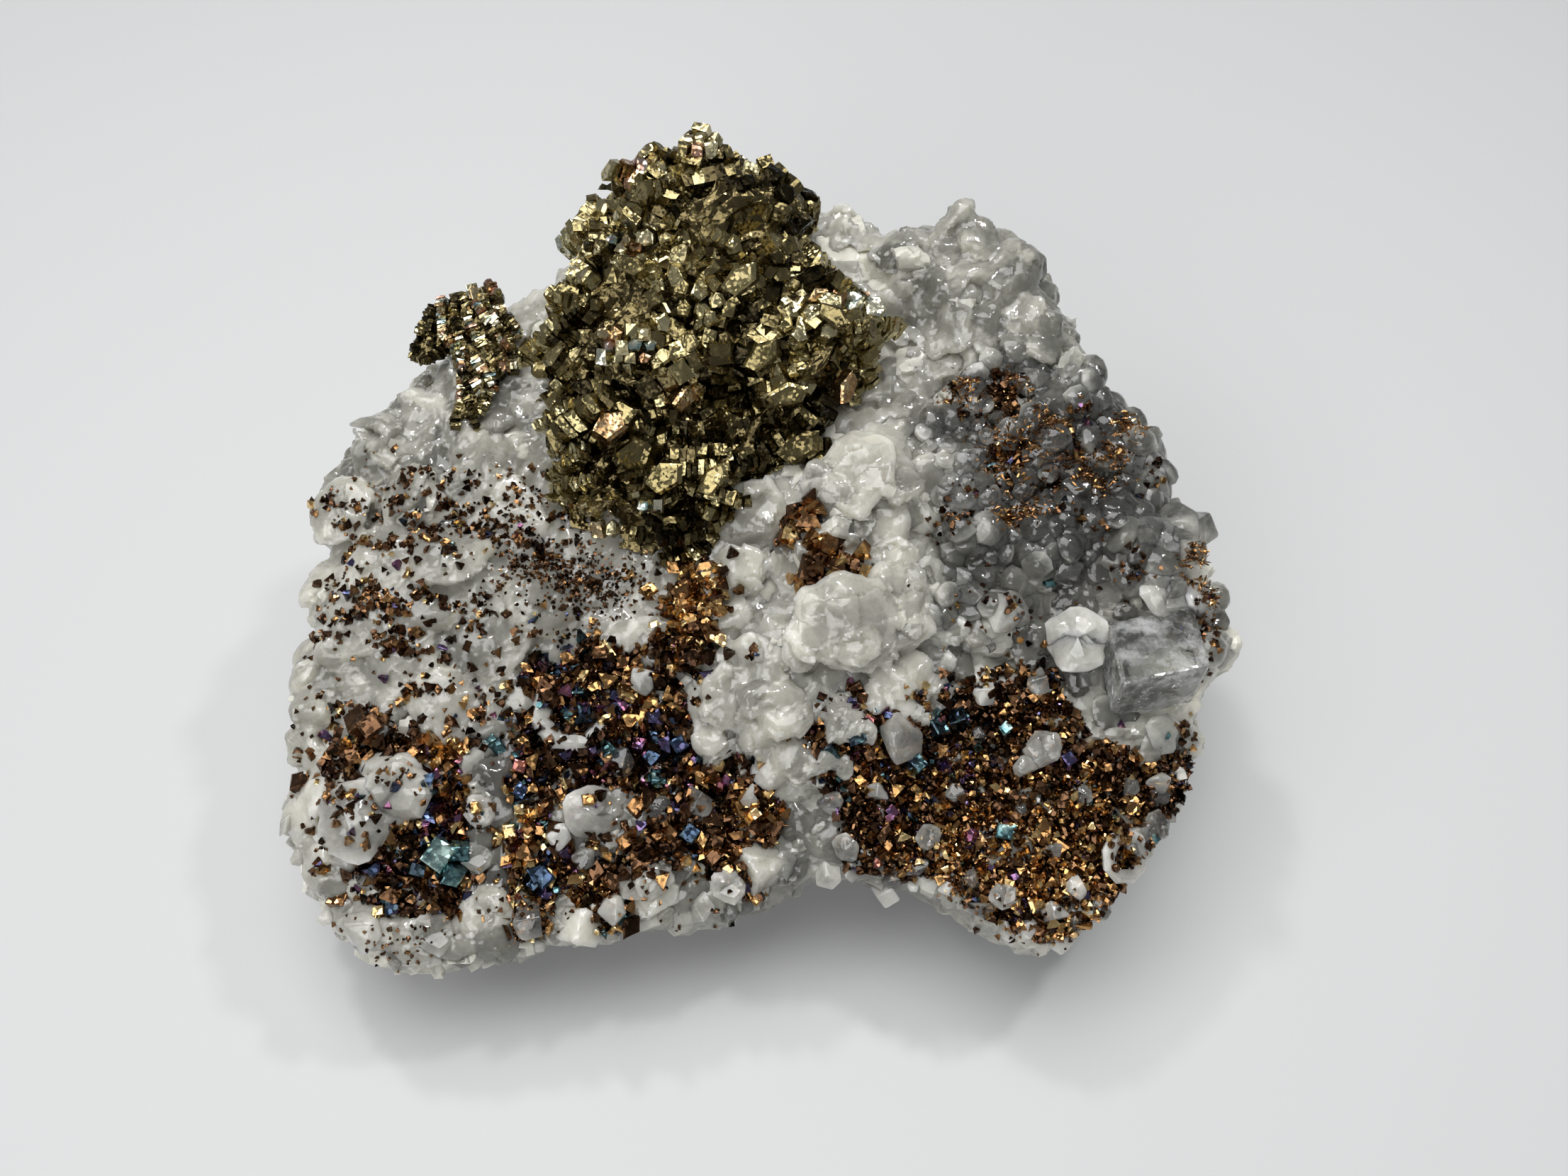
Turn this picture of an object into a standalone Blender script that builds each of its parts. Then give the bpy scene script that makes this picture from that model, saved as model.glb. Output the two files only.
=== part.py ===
"""Peacock ore: a hill of white calcite that carries a brassy mound and crusts of tarnished crystals.

The origin is the middle of the flat spot that the specimen rests on. X runs along its broad front edge,
Y runs from that edge to the tall back, and Z is up. Lengths are in millimetres until a mesh is made.
"""

import math
import random

import bmesh
import bpy
from mathutils import Matrix, Vector
from mathutils.geometry import delaunay_2d_cdt

MM = 0.001

# The hill: its middle height, its slope up to the back, and its swells as (x, y, radius, rise).
MIDDLE_HEIGHT = 38.4
SLOPE = 0.34
SWELLS = {
    "knoll": (38, 7, 13, 6),
    "back_ridge": (29, 34, 14, 3),
    "rosette": (6, -22, 13, 4),
    "shoulder": (11, 1, 11, 4),
    "rhomb_bank": (50, -20, 11, 2),
    "front_left_dome": (-48, -36, 13, 3),
    "left_slope": (-40, -8, 18, 2),
    "front_hollow": (-12, -42, 14, -2),
    "front_right_tongue": (38, -40, 16, 1.5),
}

# The rim from above, anticlockwise from the right: (x, y, how far the top rolls down, height of the foot).
RIM = [
    (64, -16, 5, 14), (63, -9, 5, 14), (59, -2, 6, 14), (56, 6, 6, 13), (55, 12, 6, 12), (48, 18, 6, 11),
    (45, 28, 7, 10), (42, 37, 7, 9), (34, 43, 7, 8), (24, 44, 7, 8), (14, 45, 6, 8), (8, 50, 5, 7),
    (-6, 52, 4, 7), (-20, 48, 5, 7), (-28, 41, 6, 8), (-37, 36, 7, 9), (-46, 30, 7, 10), (-54, 22, 7, 11),
    (-60, 14, 7, 12), (-64, 8, 6, 13), (-62, 1, 6, 13), (-64, -7, 6, 14), (-62, -12, 5, 14),
    (-64, -20, 5, 14), (-61, -26, 4, 14), (-63, -32, 4, 14), (-64, -38, 4, 14), (-61, -45, 4, 13),
    (-56, -52, 4, 12),
    (-50, -55.5, 3, 12), (-42, -56, 2, 11), (-31, -53, 2, 11), (-18, -52, 1, 11), (-5, -49.5, 1, 12),
    (1, -48, 1, 13), (5, -45, 1, 14), (13, -46, 1, 14), (19, -45, 1, 14), (26, -50, 1, 13), (31, -53, 1, 12),
    (37, -54.5, 1, 12), (42, -51, 2, 12), (46, -47, 2, 13), (49, -42, 3, 14), (54, -37, 3, 14),
    (56, -31, 4, 14), (57, -26, 4, 14), (60, -20, 5, 14),
]
RIM_STEP = 5.6
ROLL_WIDTH = 12

# The facets of the hill's top: their spacing in the open and under the mound, and their roughness.
FACET = 5.0
FACET_UNDER_MOUND = 8
FACET_SCATTER = 0.24
ROUGHNESS = 1.5
ROUGHNESS_UNDER_CRUST = 0.4
WALL_ROUGHNESS = 1.5

# The wall below the rim, the sloping belly, and the flat spot: an uneven oval round the origin.
WALL_SHARES = (0.3, 0.65, 1.0)
WALL_INSET = 0.05
BELLY_SHARE = 0.45
BELLY_HEIGHT_SHARE = 0.5
FLAT_SPOT_RADII = (35, 22)
FLAT_SPOT_WAVE = 0.07

# The brassy mound: its outline, its rounded lobes as (x, y, radius, rise), and the bars of plates on them.
MOUND_HUB = (-10, 20)
MOUND_EDGE = [
    (14, 16), (12, 25), (9, 34), (5, 42), (-8, 46), (-20, 45), (-27, 38), (-33, 28), (-32, 16), (-30, 4),
    (-28, -4), (-19, -8), (-11, -6), (-4, -1), (3, 4), (8, 9),
]
LOBES = {
    "crown": (-9, 31, 14, 19),
    "left_breast": (-16, 20, 14, 12),
    "right_breast": (4, 20, 12, 12),
    "apron": (-13, 3, 13, 5),
}
MOUND_SECTORS = 26
MOUND_RINGS = (0.24, 0.46, 0.66, 0.84, 1.0)
MOUND_SKIRT = 0.8
BAR_COUNT = 46
BAR_LENGTH = (8, 13)
BAR_WIDTH = (3.4, 5.2)
BAR_HEIGHT = (3.8, 5.4)
BAR_TAPER = 0.8

# The small brassy spray left of the mound: its bars as (x, y, length, turn in degrees).
SPRAY_BARS = [
    (-47, 25, 9, 65), (-43, 28, 9, 15), (-40, 26, 7, -35),
    (-42, 22, 9, 100), (-41, 16, 9, 80), (-39, 21, 6, 10),
]

# The tarnished crusts, each as ovals on the hill (x, y, half width, half depth).
CRUSTS = {
    "crust_front_left": [
        (-54, -30, 5, 5), (-46, -44, 9, 8), (-43, -33, 5, 6), (-51, -38, 6, 6),
    ],
    "crust_front_middle": [
        (-34, -31, 6, 5), (-27, -32, 6, 6), (-31, -44, 6, 8), (-21, -47, 5, 5), (-25, -22, 8, 6),
        (-16, -31, 8, 6), (-12, -38, 7, 6), (-5, -39, 6, 8), (-19, -24, 6, 6),
    ],
    "crust_centre": [(-11, -12, 5, 7), (-17, -15, 4, 4)],
    "crust_front_right": [
        (12, -33, 11, 7), (28, -31, 14, 9), (41, -28, 9, 7),
        (20, -41, 12, 6), (36, -43, 13, 11), (48, -34, 8, 7),
    ],
    "crust_knoll": [(30, 14, 5, 4), (31, 9, 4, 5), (36, 4, 7, 4)],
}
CRUST_GAP = 0.5
CRUST_THICKNESS = 0.9
CRUST_RIDGE = (0.0, 0.5)
CRUST_PEAK = (0.9, 3.0)

# Calcite grows as rhombohedra, which differ in how far the point stands out: nail-heads to spikes.
POINT_HEIGHT = {"nail": 0.2, "rhomb": 0.4, "bead": 0.52, "spike": 0.8}

# The larger calcite crystals on the top: (form, x, y, width, turn in degrees, lean in degrees).
CALCITE = [
    ("nail", 15, -16, 14, 20, 20), ("nail", 9, -15, 12, 70, 35), ("nail", 18, -22, 11, 100, 15),
    ("rhomb", 9, -25, 9, 30, 20), ("nail", -5, -25, 10, 0, 15), ("nail", 1, -28, 10, 50, 10),
    ("rhomb", -4, -17, 10, 15, 10), ("rhomb", 2, -19, 9, 60, 15), ("rhomb", -1, -8, 8, 35, 10),
    ("nail", 12, 1, 15, 10, 10), ("nail", 17, 10, 13, 80, 20), ("nail", 8, -5, 10, 45, 20),
    ("nail", 17, -6, 10, 120, 15), ("bead", 21, -11, 8, 0, 0), ("nail", 19, 20, 11, 30, 25),
    ("nail", 18, 33, 13, 15, 20), ("rhomb", 12, 43, 9, 30, 10), ("rhomb", 27, 37, 9, 10, 10),
    ("bead", 35, 33, 9, 0, 0), ("bead", 27, 28, 9, 20, 0), ("bead", 36, 25, 8, 40, 0),
    ("bead", 28, 21, 8, 0, 10), ("bead", 42, 18, 8, 30, 0), ("bead", 50, 8, 9, 15, 0),
    ("bead", 22, 5, 8, 50, 0), ("bead", 27, -4, 8, 10, 0), ("bead", 37, -6, 9, 20, 10),
    ("bead", 47, -5, 9, 50, 0), ("bead", 55, -6, 11, 0, 0), ("bead", 33, 10, 6, 0, 0),
    ("bead", 39, 11, 7, 25, 0), ("rhomb", 40, -17, 10, 40, 10), ("rhomb", 29, -15, 10, 10, 5),
    ("rhomb", 57, -11, 8, 60, 20), ("bead", 47, -13, 8, 0, 0), ("rhomb", -14, -48, 10, 40, 5),
    ("rhomb", 1, -44, 10, 15, 5), ("rhomb", -36, -51, 9, 50, 5), ("nail", -27, -28, 8, 0, 20),
    ("rhomb", -58, 1, 11, 20, 20), ("rhomb", -47, 1, 11, 50, 10), ("nail", -56, -38, 12, 20, 10),
    ("rhomb", -53, -50, 9, 30, 10), ("nail", -38, -24, 12, 15, 10), ("nail", -33, -14, 11, 60, 10),
    ("nail", -22, -12, 11, 0, 10), ("nail", -45, 11, 12, 150, 25), ("nail", -53, 10, 12, 140, 30),
    ("nail", -38, 6, 11, 130, 25), ("nail", -49, 18, 12, 145, 30), ("nail", -50, -14, 12, 30, 10),
    ("nail", -42, -9, 11, 80, 10), ("rhomb", -57, -18, 10, 40, 15),
]
SMALLEST_CALCITE = 4.5
CALCITE_SEAT = 0.1

# The calcite crystals round the rim and on the wall: how many and how wide, with smaller ones in front.
RIM_CRYSTALS = 34
RIM_CRYSTAL_SIZE = (6, 8.5)
RIM_CRYSTAL_SUNK = 0.38
WALL_CRYSTALS = 26
WALL_CRYSTAL_SIZE = (10, 15)
WALL_CRYSTAL_SUNK = 0.2
FRONT_CRYSTAL_SHARE = 0.6

# The clear cleavage rhomb on the right: place, edge lengths, skew, turn and lean in degrees, and clearance.
RHOMB_PLACE = (50.5, -20, 33)
RHOMB_EDGES = (12, 11, 10)
RHOMB_SKEW = 0.24
RHOMB_TURN = 14
RHOMB_LEAN = 14
RHOMB_CLEARANCE = 0.4
RHOMB_KEEP_OUT = 9

SEED = 11


def surface(x, y):
    """Height of the hill above the flat spot, before its edge rolls down."""
    z = MIDDLE_HEIGHT + SLOPE * y
    for sx, sy, radius, rise in SWELLS.values():
        z += rise * math.exp(-((x - sx) ** 2 + (y - sy) ** 2) / radius**2)
    return z


def mound_rise(x, y):
    """How far the mound's lobes stand above the hill."""
    rise = MOUND_SKIRT
    for lx, ly, radius, height in LOBES.values():
        share = 1 - ((x - lx) ** 2 + (y - ly) ** 2) / radius**2
        if share > 0:
            rise = max(rise, height * math.sqrt(share))
    return rise


def slope_normal(height, x, y, step=1.5):
    """The upward normal of a height function."""
    fall_x = height(x - step, y) - height(x + step, y)
    fall_y = height(x, y - step) - height(x, y + step)
    return Vector((fall_x, fall_y, 2 * step)).normalized()


def edge_distance(outline, x, y):
    """Signed distance on the plan to an outline, positive inside, and where its nearest edge is met."""
    nearest, inside, met = math.inf, False, None
    for k, start in enumerate(outline):
        end = outline[(k + 1) % len(outline)]
        ax, ay, ex, ey = start[0], start[1], end[0] - start[0], end[1] - start[1]
        along = max(0.0, min(1.0, ((x - ax) * ex + (y - ay) * ey) / (ex * ex + ey * ey)))
        distance = math.dist((x, y), (ax + along * ex, ay + along * ey))
        if distance < nearest:
            nearest, met = distance, (k, along)
        if (ay > y) != (ay + ey > y) and x < ax + ex * (y - ay) / ey:
            inside = not inside
    return (nearest if inside else -nearest), met


def mixed(outline, met, column):
    """A column of an outline's rows where one of its edges is met."""
    k, along = met
    return outline[k][column] * (1 - along) + outline[(k + 1) % len(outline)][column] * along


def spaced(outline, step):
    """Rows at even steps along an outline."""
    lengths = [math.dist(row[:2], outline[(k + 1) % len(outline)][:2]) for k, row in enumerate(outline)]
    count = round(sum(lengths) / step)
    rows = []
    for n in range(count):
        left = n * sum(lengths) / count
        k = 0
        while left > lengths[k]:
            left -= lengths[k]
            k += 1
        rows.append([mixed(outline, (k, left / lengths[k]), column) for column in range(len(outline[0]))])
    return rows


def under_mound(x, y, margin=0.0):
    return edge_distance(MOUND_EDGE, x, y)[0] > -margin


def make_object(name, bm, color, roughness, metallic):
    """Makes an object in metres from a bmesh in millimetres, with its own plain material."""
    bmesh.ops.scale(bm, vec=(MM, MM, MM), verts=bm.verts)
    mesh = bpy.data.meshes.new(name)
    bm.to_mesh(mesh)
    bm.free()
    material = bpy.data.materials.new(name)
    material.use_nodes = True
    shader = material.node_tree.nodes["Principled BSDF"]
    shader.inputs["Base Color"].default_value = (*color, 1)
    shader.inputs["Roughness"].default_value = roughness
    shader.inputs["Metallic"].default_value = metallic
    mesh.materials.append(material)
    obj = bpy.data.objects.new(name, mesh)
    bpy.context.scene.collection.objects.link(obj)
    return obj


def helper_group(name, meshes):
    """A collection of hidden objects that a Boolean joins to a piece or cuts from it."""
    group = bpy.data.collections.new(name)
    bpy.context.scene.collection.children.link(group)
    for bm in meshes:
        obj = make_object(name, bm, (0.8, 0.8, 0.8), 0.4, 0)
        bpy.context.scene.collection.objects.unlink(obj)
        group.objects.link(obj)
        obj.hide_render = True
        obj.display_type = "WIRE"
    return group


def add_boolean(obj, operation, group):
    modifier = obj.modifiers.new(group.name, "BOOLEAN")
    modifier.operation = operation
    modifier.solver = "EXACT"
    modifier.operand_type = "COLLECTION"
    modifier.collection = group


def convex(points):
    bm = bmesh.new()
    for point in points:
        bm.verts.new(point)
    bmesh.ops.convex_hull(bm, input=bm.verts)
    return bm


def rhombohedron(point_height):
    """A calcite crystal one unit wide that stands on its corner: six sides, three faces to each point."""
    corners = [(0, 0, point_height), (0, 0, -point_height)]
    for k in range(6):
        angle = math.tau * k / 6
        side = point_height / 3 if k % 2 else -point_height / 3
        corners.append((math.cos(angle) / 2, math.sin(angle) / 2, side))
    return convex(corners)


def cleavage_block(edges):
    """A slanted block of clear calcite."""
    ends = (-0.5, 0.5)
    corners = [(x + RHOMB_SKEW * y, y + RHOMB_SKEW * z, z) for x in ends for y in ends for z in ends]
    bm = convex(corners)
    bmesh.ops.scale(bm, vec=edges, verts=bm.verts)
    return bm


def stand(bm, width, depth, position, normal, turn, lean):
    """Scales a form, turns it about its axis, leans it and stands it along a normal."""
    frame = normal.to_track_quat("Z", "Y").to_matrix().to_4x4()
    local = Matrix.Rotation(math.radians(turn), 4, "Z") @ Matrix.Rotation(math.radians(lean), 4, "X")
    sized = Matrix.Diagonal((width, depth, width, 1))
    bmesh.ops.transform(bm, matrix=Matrix.Translation(position) @ frame @ local @ sized, verts=bm.verts)
    return bm


class Hill:
    """The hill's plan: points on its top, the triangles between them, and which of them each crust covers."""

    def __init__(self, rng):
        self.rim = spaced(RIM, RIM_STEP)
        plan = [(row[0], row[1]) for row in self.rim]
        plan += self.inner_points(rng)
        coords = [Vector(point) for point in plan]
        found = delaunay_2d_cdt(coords, [], [range(len(self.rim))], 1, 1e-5)
        self.triangles = [tuple(face) for face in found[2]]
        self.crusts = self.choose_crusts([(v.x, v.y) for v in found[0]])
        covered = {corner for faces in self.crusts.values() for face in faces for corner in face}
        self.points = []
        for n, (x, y) in enumerate(found[0]):
            z = self.top(x, y)
            rough = ROUGHNESS_UNDER_CRUST if n in covered else ROUGHNESS
            if not under_mound(x, y, FACET / 2):
                z += rng.uniform(-rough, rough)
            self.points.append(Vector((x, y, z)))

    def inner_points(self, rng):
        """A scattered hexagonal grid inside the rim, coarser under the mound."""
        points = []
        for spacing, wants_mound in ((FACET, False), (FACET_UNDER_MOUND, True)):
            row_height = spacing * math.sqrt(3) / 2
            for i in range(-14, 15):
                for j in range(-16, 17):
                    x = (j + (i % 2) / 2 + rng.uniform(-FACET_SCATTER, FACET_SCATTER)) * spacing
                    y = (i + rng.uniform(-FACET_SCATTER, FACET_SCATTER)) * row_height
                    if under_mound(x, y, -FACET / 2) != wants_mound:
                        continue
                    if edge_distance(RIM, x, y)[0] > FACET * 0.55:
                        points.append((x, y))
        return points

    def top(self, x, y):
        inset, met = edge_distance(RIM, x, y)
        rolled = 1 - min(1, max(0, inset) / ROLL_WIDTH)
        return surface(x, y) - mixed(RIM, met, 2) * rolled**2

    def choose_crusts(self, plan):
        """The triangles that each crust covers: one patch each, and no patch touches another."""
        used, chosen = set(), {}
        for name, ovals in CRUSTS.items():
            faces = set()
            for face in self.triangles:
                x = sum(plan[corner][0] for corner in face) / 3
                y = sum(plan[corner][1] for corner in face) / 3
                inside = any(((x - ox) / a) ** 2 + ((y - oy) / b) ** 2 < 1 for ox, oy, a, b in ovals)
                free = not used.intersection(face) and not under_mound(x, y, FACET)
                free = free and math.dist((x, y), RHOMB_PLACE[:2]) > RHOMB_KEEP_OUT + FACET / 2
                if inside and free:
                    faces.add(face)
            faces = widest_patch(faces)
            used.update(corner for face in faces for corner in face)
            chosen[name] = sorted(faces)
        return chosen

    def clearance(self, x, y):
        """How far a point on the plan is from the nearest crust, the mound, the spray and the clear rhomb."""
        best = -edge_distance(MOUND_EDGE, x, y)[0] - 1
        for faces in self.crusts.values():
            for face in faces:
                for a, b in ((0, 1), (1, 2), (2, 0)):
                    corner = self.points[face[a]]
                    middle = (corner + self.points[face[b]]) / 2
                    best = min(best, math.dist((x, y), middle[:2]), math.dist((x, y), corner[:2]))
        for sx, sy, length, _ in SPRAY_BARS:
            best = min(best, math.dist((x, y), (sx, sy)) - length / 2)
        return min(best, math.dist((x, y), RHOMB_PLACE[:2]) - RHOMB_KEEP_OUT)

    def closed_mesh(self, lift, rows):
        """The top, raised by lift, closed below by rows of points under the rim, the last one flat."""
        bm = bmesh.new()
        verts = [bm.verts.new(point + Vector((0, 0, lift))) for point in self.points]
        for face in self.triangles:
            bm.faces.new([verts[corner] for corner in face])
        upper = verts[: len(self.rim)]
        for row in rows:
            lower = [bm.verts.new(point) for point in row]
            for k in range(len(upper)):
                after = (k + 1) % len(upper)
                bm.faces.new([upper[k], lower[k], lower[after], upper[after]])
            upper = lower
        bm.faces.new(upper)
        bmesh.ops.triangulate(bm, faces=[face for face in bm.faces if len(face.verts) == 4])
        bmesh.ops.recalc_face_normals(bm, faces=bm.faces)
        return bm

    def wall_rows(self, rng):
        """Rows down the wall to its foot, then one round the belly and one round the flat spot."""
        rows = [[] for _ in range(len(WALL_SHARES) + 2)]
        for n, (x, y, _, foot_height) in enumerate(self.rim):
            top = self.points[n].z
            for row, share in zip(rows, WALL_SHARES):
                scatter = Vector([rng.uniform(-WALL_ROUGHNESS, WALL_ROUGHNESS) for _ in range(3)])
                inset = 1 - WALL_INSET * share
                row.append(Vector((x * inset, y * inset, top + (foot_height - top) * share)) + scatter)
            angle = math.atan2(y / FLAT_SPOT_RADII[1], x / FLAT_SPOT_RADII[0])
            wave = 1 + FLAT_SPOT_WAVE * (math.sin(3 * angle) + math.sin(5 * angle + 1))
            across, deep = FLAT_SPOT_RADII[0] * wave, FLAT_SPOT_RADII[1] * wave
            rest = Vector((across * math.cos(angle), deep * math.sin(angle), 0))
            belly = rows[-3][-1].lerp(rest, BELLY_SHARE)
            belly.z = foot_height * BELLY_HEIGHT_SHARE + rng.uniform(-WALL_ROUGHNESS, WALL_ROUGHNESS)
            rows[-2].append(belly)
            rows[-1].append(rest)
        return rows

    def outward(self, n):
        """The direction out of the rim, seen from above, at one of its points."""
        before, after = self.rim[n - 1], self.rim[(n + 1) % len(self.rim)]
        return Vector((after[1] - before[1], before[0] - after[0], 0)).normalized()


def widest_patch(faces):
    """The largest set of triangles joined by edges, without any that meet the rest only at a corner."""
    faces = set(faces)
    while True:
        by_edge = {}
        for face in faces:
            for a, b in ((0, 1), (1, 2), (2, 0)):
                by_edge.setdefault(frozenset((face[a], face[b])), []).append(face)
        neighbours = {face: set() for face in faces}
        for pair in by_edge.values():
            if len(pair) == 2:
                neighbours[pair[0]].add(pair[1])
                neighbours[pair[1]].add(pair[0])
        patch = max(fans(faces, neighbours), key=len)
        loose = set()
        for corner in {corner for face in patch for corner in face}:
            around = {face for face in patch if corner in face}
            for fan in fans(around, neighbours)[1:]:
                loose |= fan
        if not loose and len(patch) == len(faces):
            return patch
        faces = patch - loose


def fans(faces, neighbours):
    """Splits triangles into sets joined by edges, the largest first."""
    left, groups = set(faces), []
    while left:
        group, front = set(), [left.pop()]
        while front:
            face = front.pop()
            group.add(face)
            reached = neighbours[face] & left
            left -= reached
            front += sorted(reached)
        groups.append(group)
    return sorted(groups, key=lambda group: (-len(group), min(group)))


def calcite_crystals(hill, rng):
    """Every calcite crystal fused to the hill: by hand on the top, by rule on the rim and the wall."""
    crystals = []
    for form, x, y, width, turn, lean in CALCITE:
        width = min(width, 2 * hill.clearance(x, y) - 0.6)
        if width < SMALLEST_CALCITE:
            continue
        up = slope_normal(surface, x, y)
        seat = Vector((x, y, hill.top(x, y))) + up * width * CALCITE_SEAT
        bm = rhombohedron(POINT_HEIGHT[form])
        crystals.append(stand(bm, width, width * rng.uniform(0.8, 1), seat, up, turn, lean))
    for count, sizes, shares, lift, sunk in (
        (RIM_CRYSTALS, RIM_CRYSTAL_SIZE, (0.0, 0.2), 0.6, RIM_CRYSTAL_SUNK),
        (WALL_CRYSTALS, WALL_CRYSTAL_SIZE, (0.35, 0.8), 0.0, WALL_CRYSTAL_SUNK),
    ):
        for k in range(count):
            n = int((k + rng.uniform(0.2, 0.8)) / count * len(hill.rim))
            x, y, _, foot_height = hill.rim[n]
            top = hill.points[n].z
            share = rng.uniform(*shares)
            out = hill.outward(n)
            in_front = out.y < -0.6
            width = rng.uniform(*sizes) * (FRONT_CRYSTAL_SHARE if in_front else 1)
            inset = 1 - WALL_INSET * share
            seat = Vector((x * inset, y * inset, top + (foot_height - top) * share)) - out * width * sunk
            form = rng.choice(("rhomb", "bead", "rhomb", "bead" if in_front or not lift else "spike"))
            turn, lean, depth = rng.uniform(0, 60), rng.uniform(-20, 20), rng.uniform(0.75, 1)
            if lift and hill.clearance(x, y) < width / 2 + 1:
                continue
            normal = (out + Vector((0, 0, lift))).normalized()
            bm = rhombohedron(POINT_HEIGHT[form])
            crystals.append(stand(bm, width, width * depth, seat, normal, turn, lean))
    return crystals


def clear_rhomb(extra):
    """The clear rhomb, grown all round by extra millimetres for its seat."""
    edges = [edge + 2 * extra for edge in RHOMB_EDGES]
    return stand(cleavage_block(edges), 1, 1, Vector(RHOMB_PLACE), Vector((0, 0, 1)), RHOMB_TURN, RHOMB_LEAN)


def make_calcite(hill, rng):
    body = hill.closed_mesh(0, hill.wall_rows(rng))
    matrix = make_object("calcite_matrix", body, (0.82, 0.83, 0.81), 0.35, 0)
    add_boolean(matrix, "UNION", helper_group("fused_crystals", calcite_crystals(hill, rng)))
    add_boolean(matrix, "DIFFERENCE", helper_group("rhomb_seat", [clear_rhomb(RHOMB_CLEARANCE)]))
    make_object("clear_calcite_rhomb", clear_rhomb(0), (0.74, 0.76, 0.76), 0.12, 0)


def make_crust(hill, name, faces, rng):
    """A druse: a thin crust whose top is a field of small sharp crystals."""
    bm = bmesh.new()
    edges = {}
    for face in faces:
        for a, b in ((0, 1), (1, 2), (2, 0)):
            edge = frozenset((face[a], face[b]))
            edges[edge] = edges.get(edge, 0) + 1
    border = {corner for edge, count in edges.items() if count == 1 for corner in edge}
    low, high, ridge = {}, {}, {}
    for n in sorted({corner for face in faces for corner in face}):
        base = hill.points[n] + Vector((0, 0, CRUST_GAP))
        grown = 0 if n in border else rng.uniform(*CRUST_PEAK)
        low[n] = bm.verts.new(base)
        high[n] = bm.verts.new(base + Vector((0, 0, CRUST_THICKNESS + grown)))
    for edge in sorted(edges, key=sorted):
        a, b = sorted(edge)
        middle = (low[a].co + low[b].co) / 2
        grown = 0 if edges[edge] == 1 else rng.uniform(*CRUST_RIDGE)
        ridge[edge] = bm.verts.new(middle + Vector((0, 0, CRUST_THICKNESS + grown)))
    for face in faces:
        bm.faces.new([low[n] for n in reversed(face)])
        mid = [ridge[frozenset((face[a], face[b]))] for a, b in ((0, 1), (1, 2), (2, 0))]
        bm.faces.new(mid)
        for k in range(3):
            bm.faces.new([high[face[k]], mid[k], mid[k - 1]])
        for a, b in ((0, 1), (1, 2), (2, 0)):
            a, b = face[a], face[b]
            if edges[frozenset((a, b))] == 1:
                bm.faces.new([low[a], low[b], high[b], ridge[frozenset((a, b))], high[a]])
    bmesh.ops.triangulate(bm, faces=[face for face in bm.faces if len(face.verts) > 3])
    bmesh.ops.recalc_face_normals(bm, faces=bm.faces)
    make_object(name, bm, (0.45, 0.22, 0.08), 0.3, 1)


def mound_top(x, y):
    return surface(x, y) + mound_rise(x, y)


def bar(rng, x, y, z, length, turn, lean, height):
    """One bar of stacked square plates, sunk about half way into what it grows on."""
    wide, tall = rng.uniform(*BAR_WIDTH) / 2, rng.uniform(*BAR_HEIGHT) / 2
    sides = (-1, 1)
    corners = [
        (along * length / 2, across * wide * narrow, up * tall * narrow)
        for along, narrow in ((-1, BAR_TAPER), (1, 1))
        for across in sides
        for up in sides
    ]
    return stand(convex(corners), 1, 1, Vector((x, y, z)), slope_normal(height, x, y), turn, lean)


def mound_core():
    """The mound's body, which reaches below the hill's surface until it is cut there."""
    bm = bmesh.new()
    length = sum(math.dist(a, b) for a, b in zip(MOUND_EDGE, MOUND_EDGE[1:]))
    edge = spaced(MOUND_EDGE, length / MOUND_SECTORS)
    rows = []
    for share in MOUND_RINGS:
        plan = [Vector(MOUND_HUB).lerp(Vector(point), share) for point in edge]
        rows.append([bm.verts.new((p.x, p.y, mound_top(p.x, p.y))) for p in plan])
    rows.append([bm.verts.new((x, y, surface(x, y) - 4)) for x, y in edge])
    crest = bm.verts.new((*MOUND_HUB, mound_top(*MOUND_HUB)))
    for k in range(len(edge)):
        after = (k + 1) % len(edge)
        bm.faces.new([crest, rows[0][k], rows[0][after]])
        for inner, outer in zip(rows, rows[1:]):
            bm.faces.new([inner[k], outer[k], outer[after], inner[after]])
    bm.faces.new(rows[-1])
    bmesh.ops.triangulate(bm, faces=[face for face in bm.faces if len(face.verts) == 4])
    bmesh.ops.recalc_face_normals(bm, faces=bm.faces)
    return bm


def mound_bars(rng):
    """Bars spread evenly over the mound, which lie in curved rows across its slope."""
    bars = []
    golden = math.pi * (3 - math.sqrt(5))
    outline = [Vector(point) for point in spaced(MOUND_EDGE, 1)]
    for k in range(BAR_COUNT):
        share = math.sqrt((k + 0.5) / BAR_COUNT) * 0.92
        edge = outline[int((k * golden / math.tau % 1) * len(outline))]
        x, y = Vector(MOUND_HUB).lerp(edge, share)
        across = math.degrees(math.atan2(y - MOUND_HUB[1], x - MOUND_HUB[0])) + 90
        turn, lean = across + rng.uniform(-20, 20), rng.uniform(-20, 20)
        bars.append(bar(rng, x, y, mound_top(x, y), rng.uniform(*BAR_LENGTH), turn, lean, mound_top))
    return bars


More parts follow.
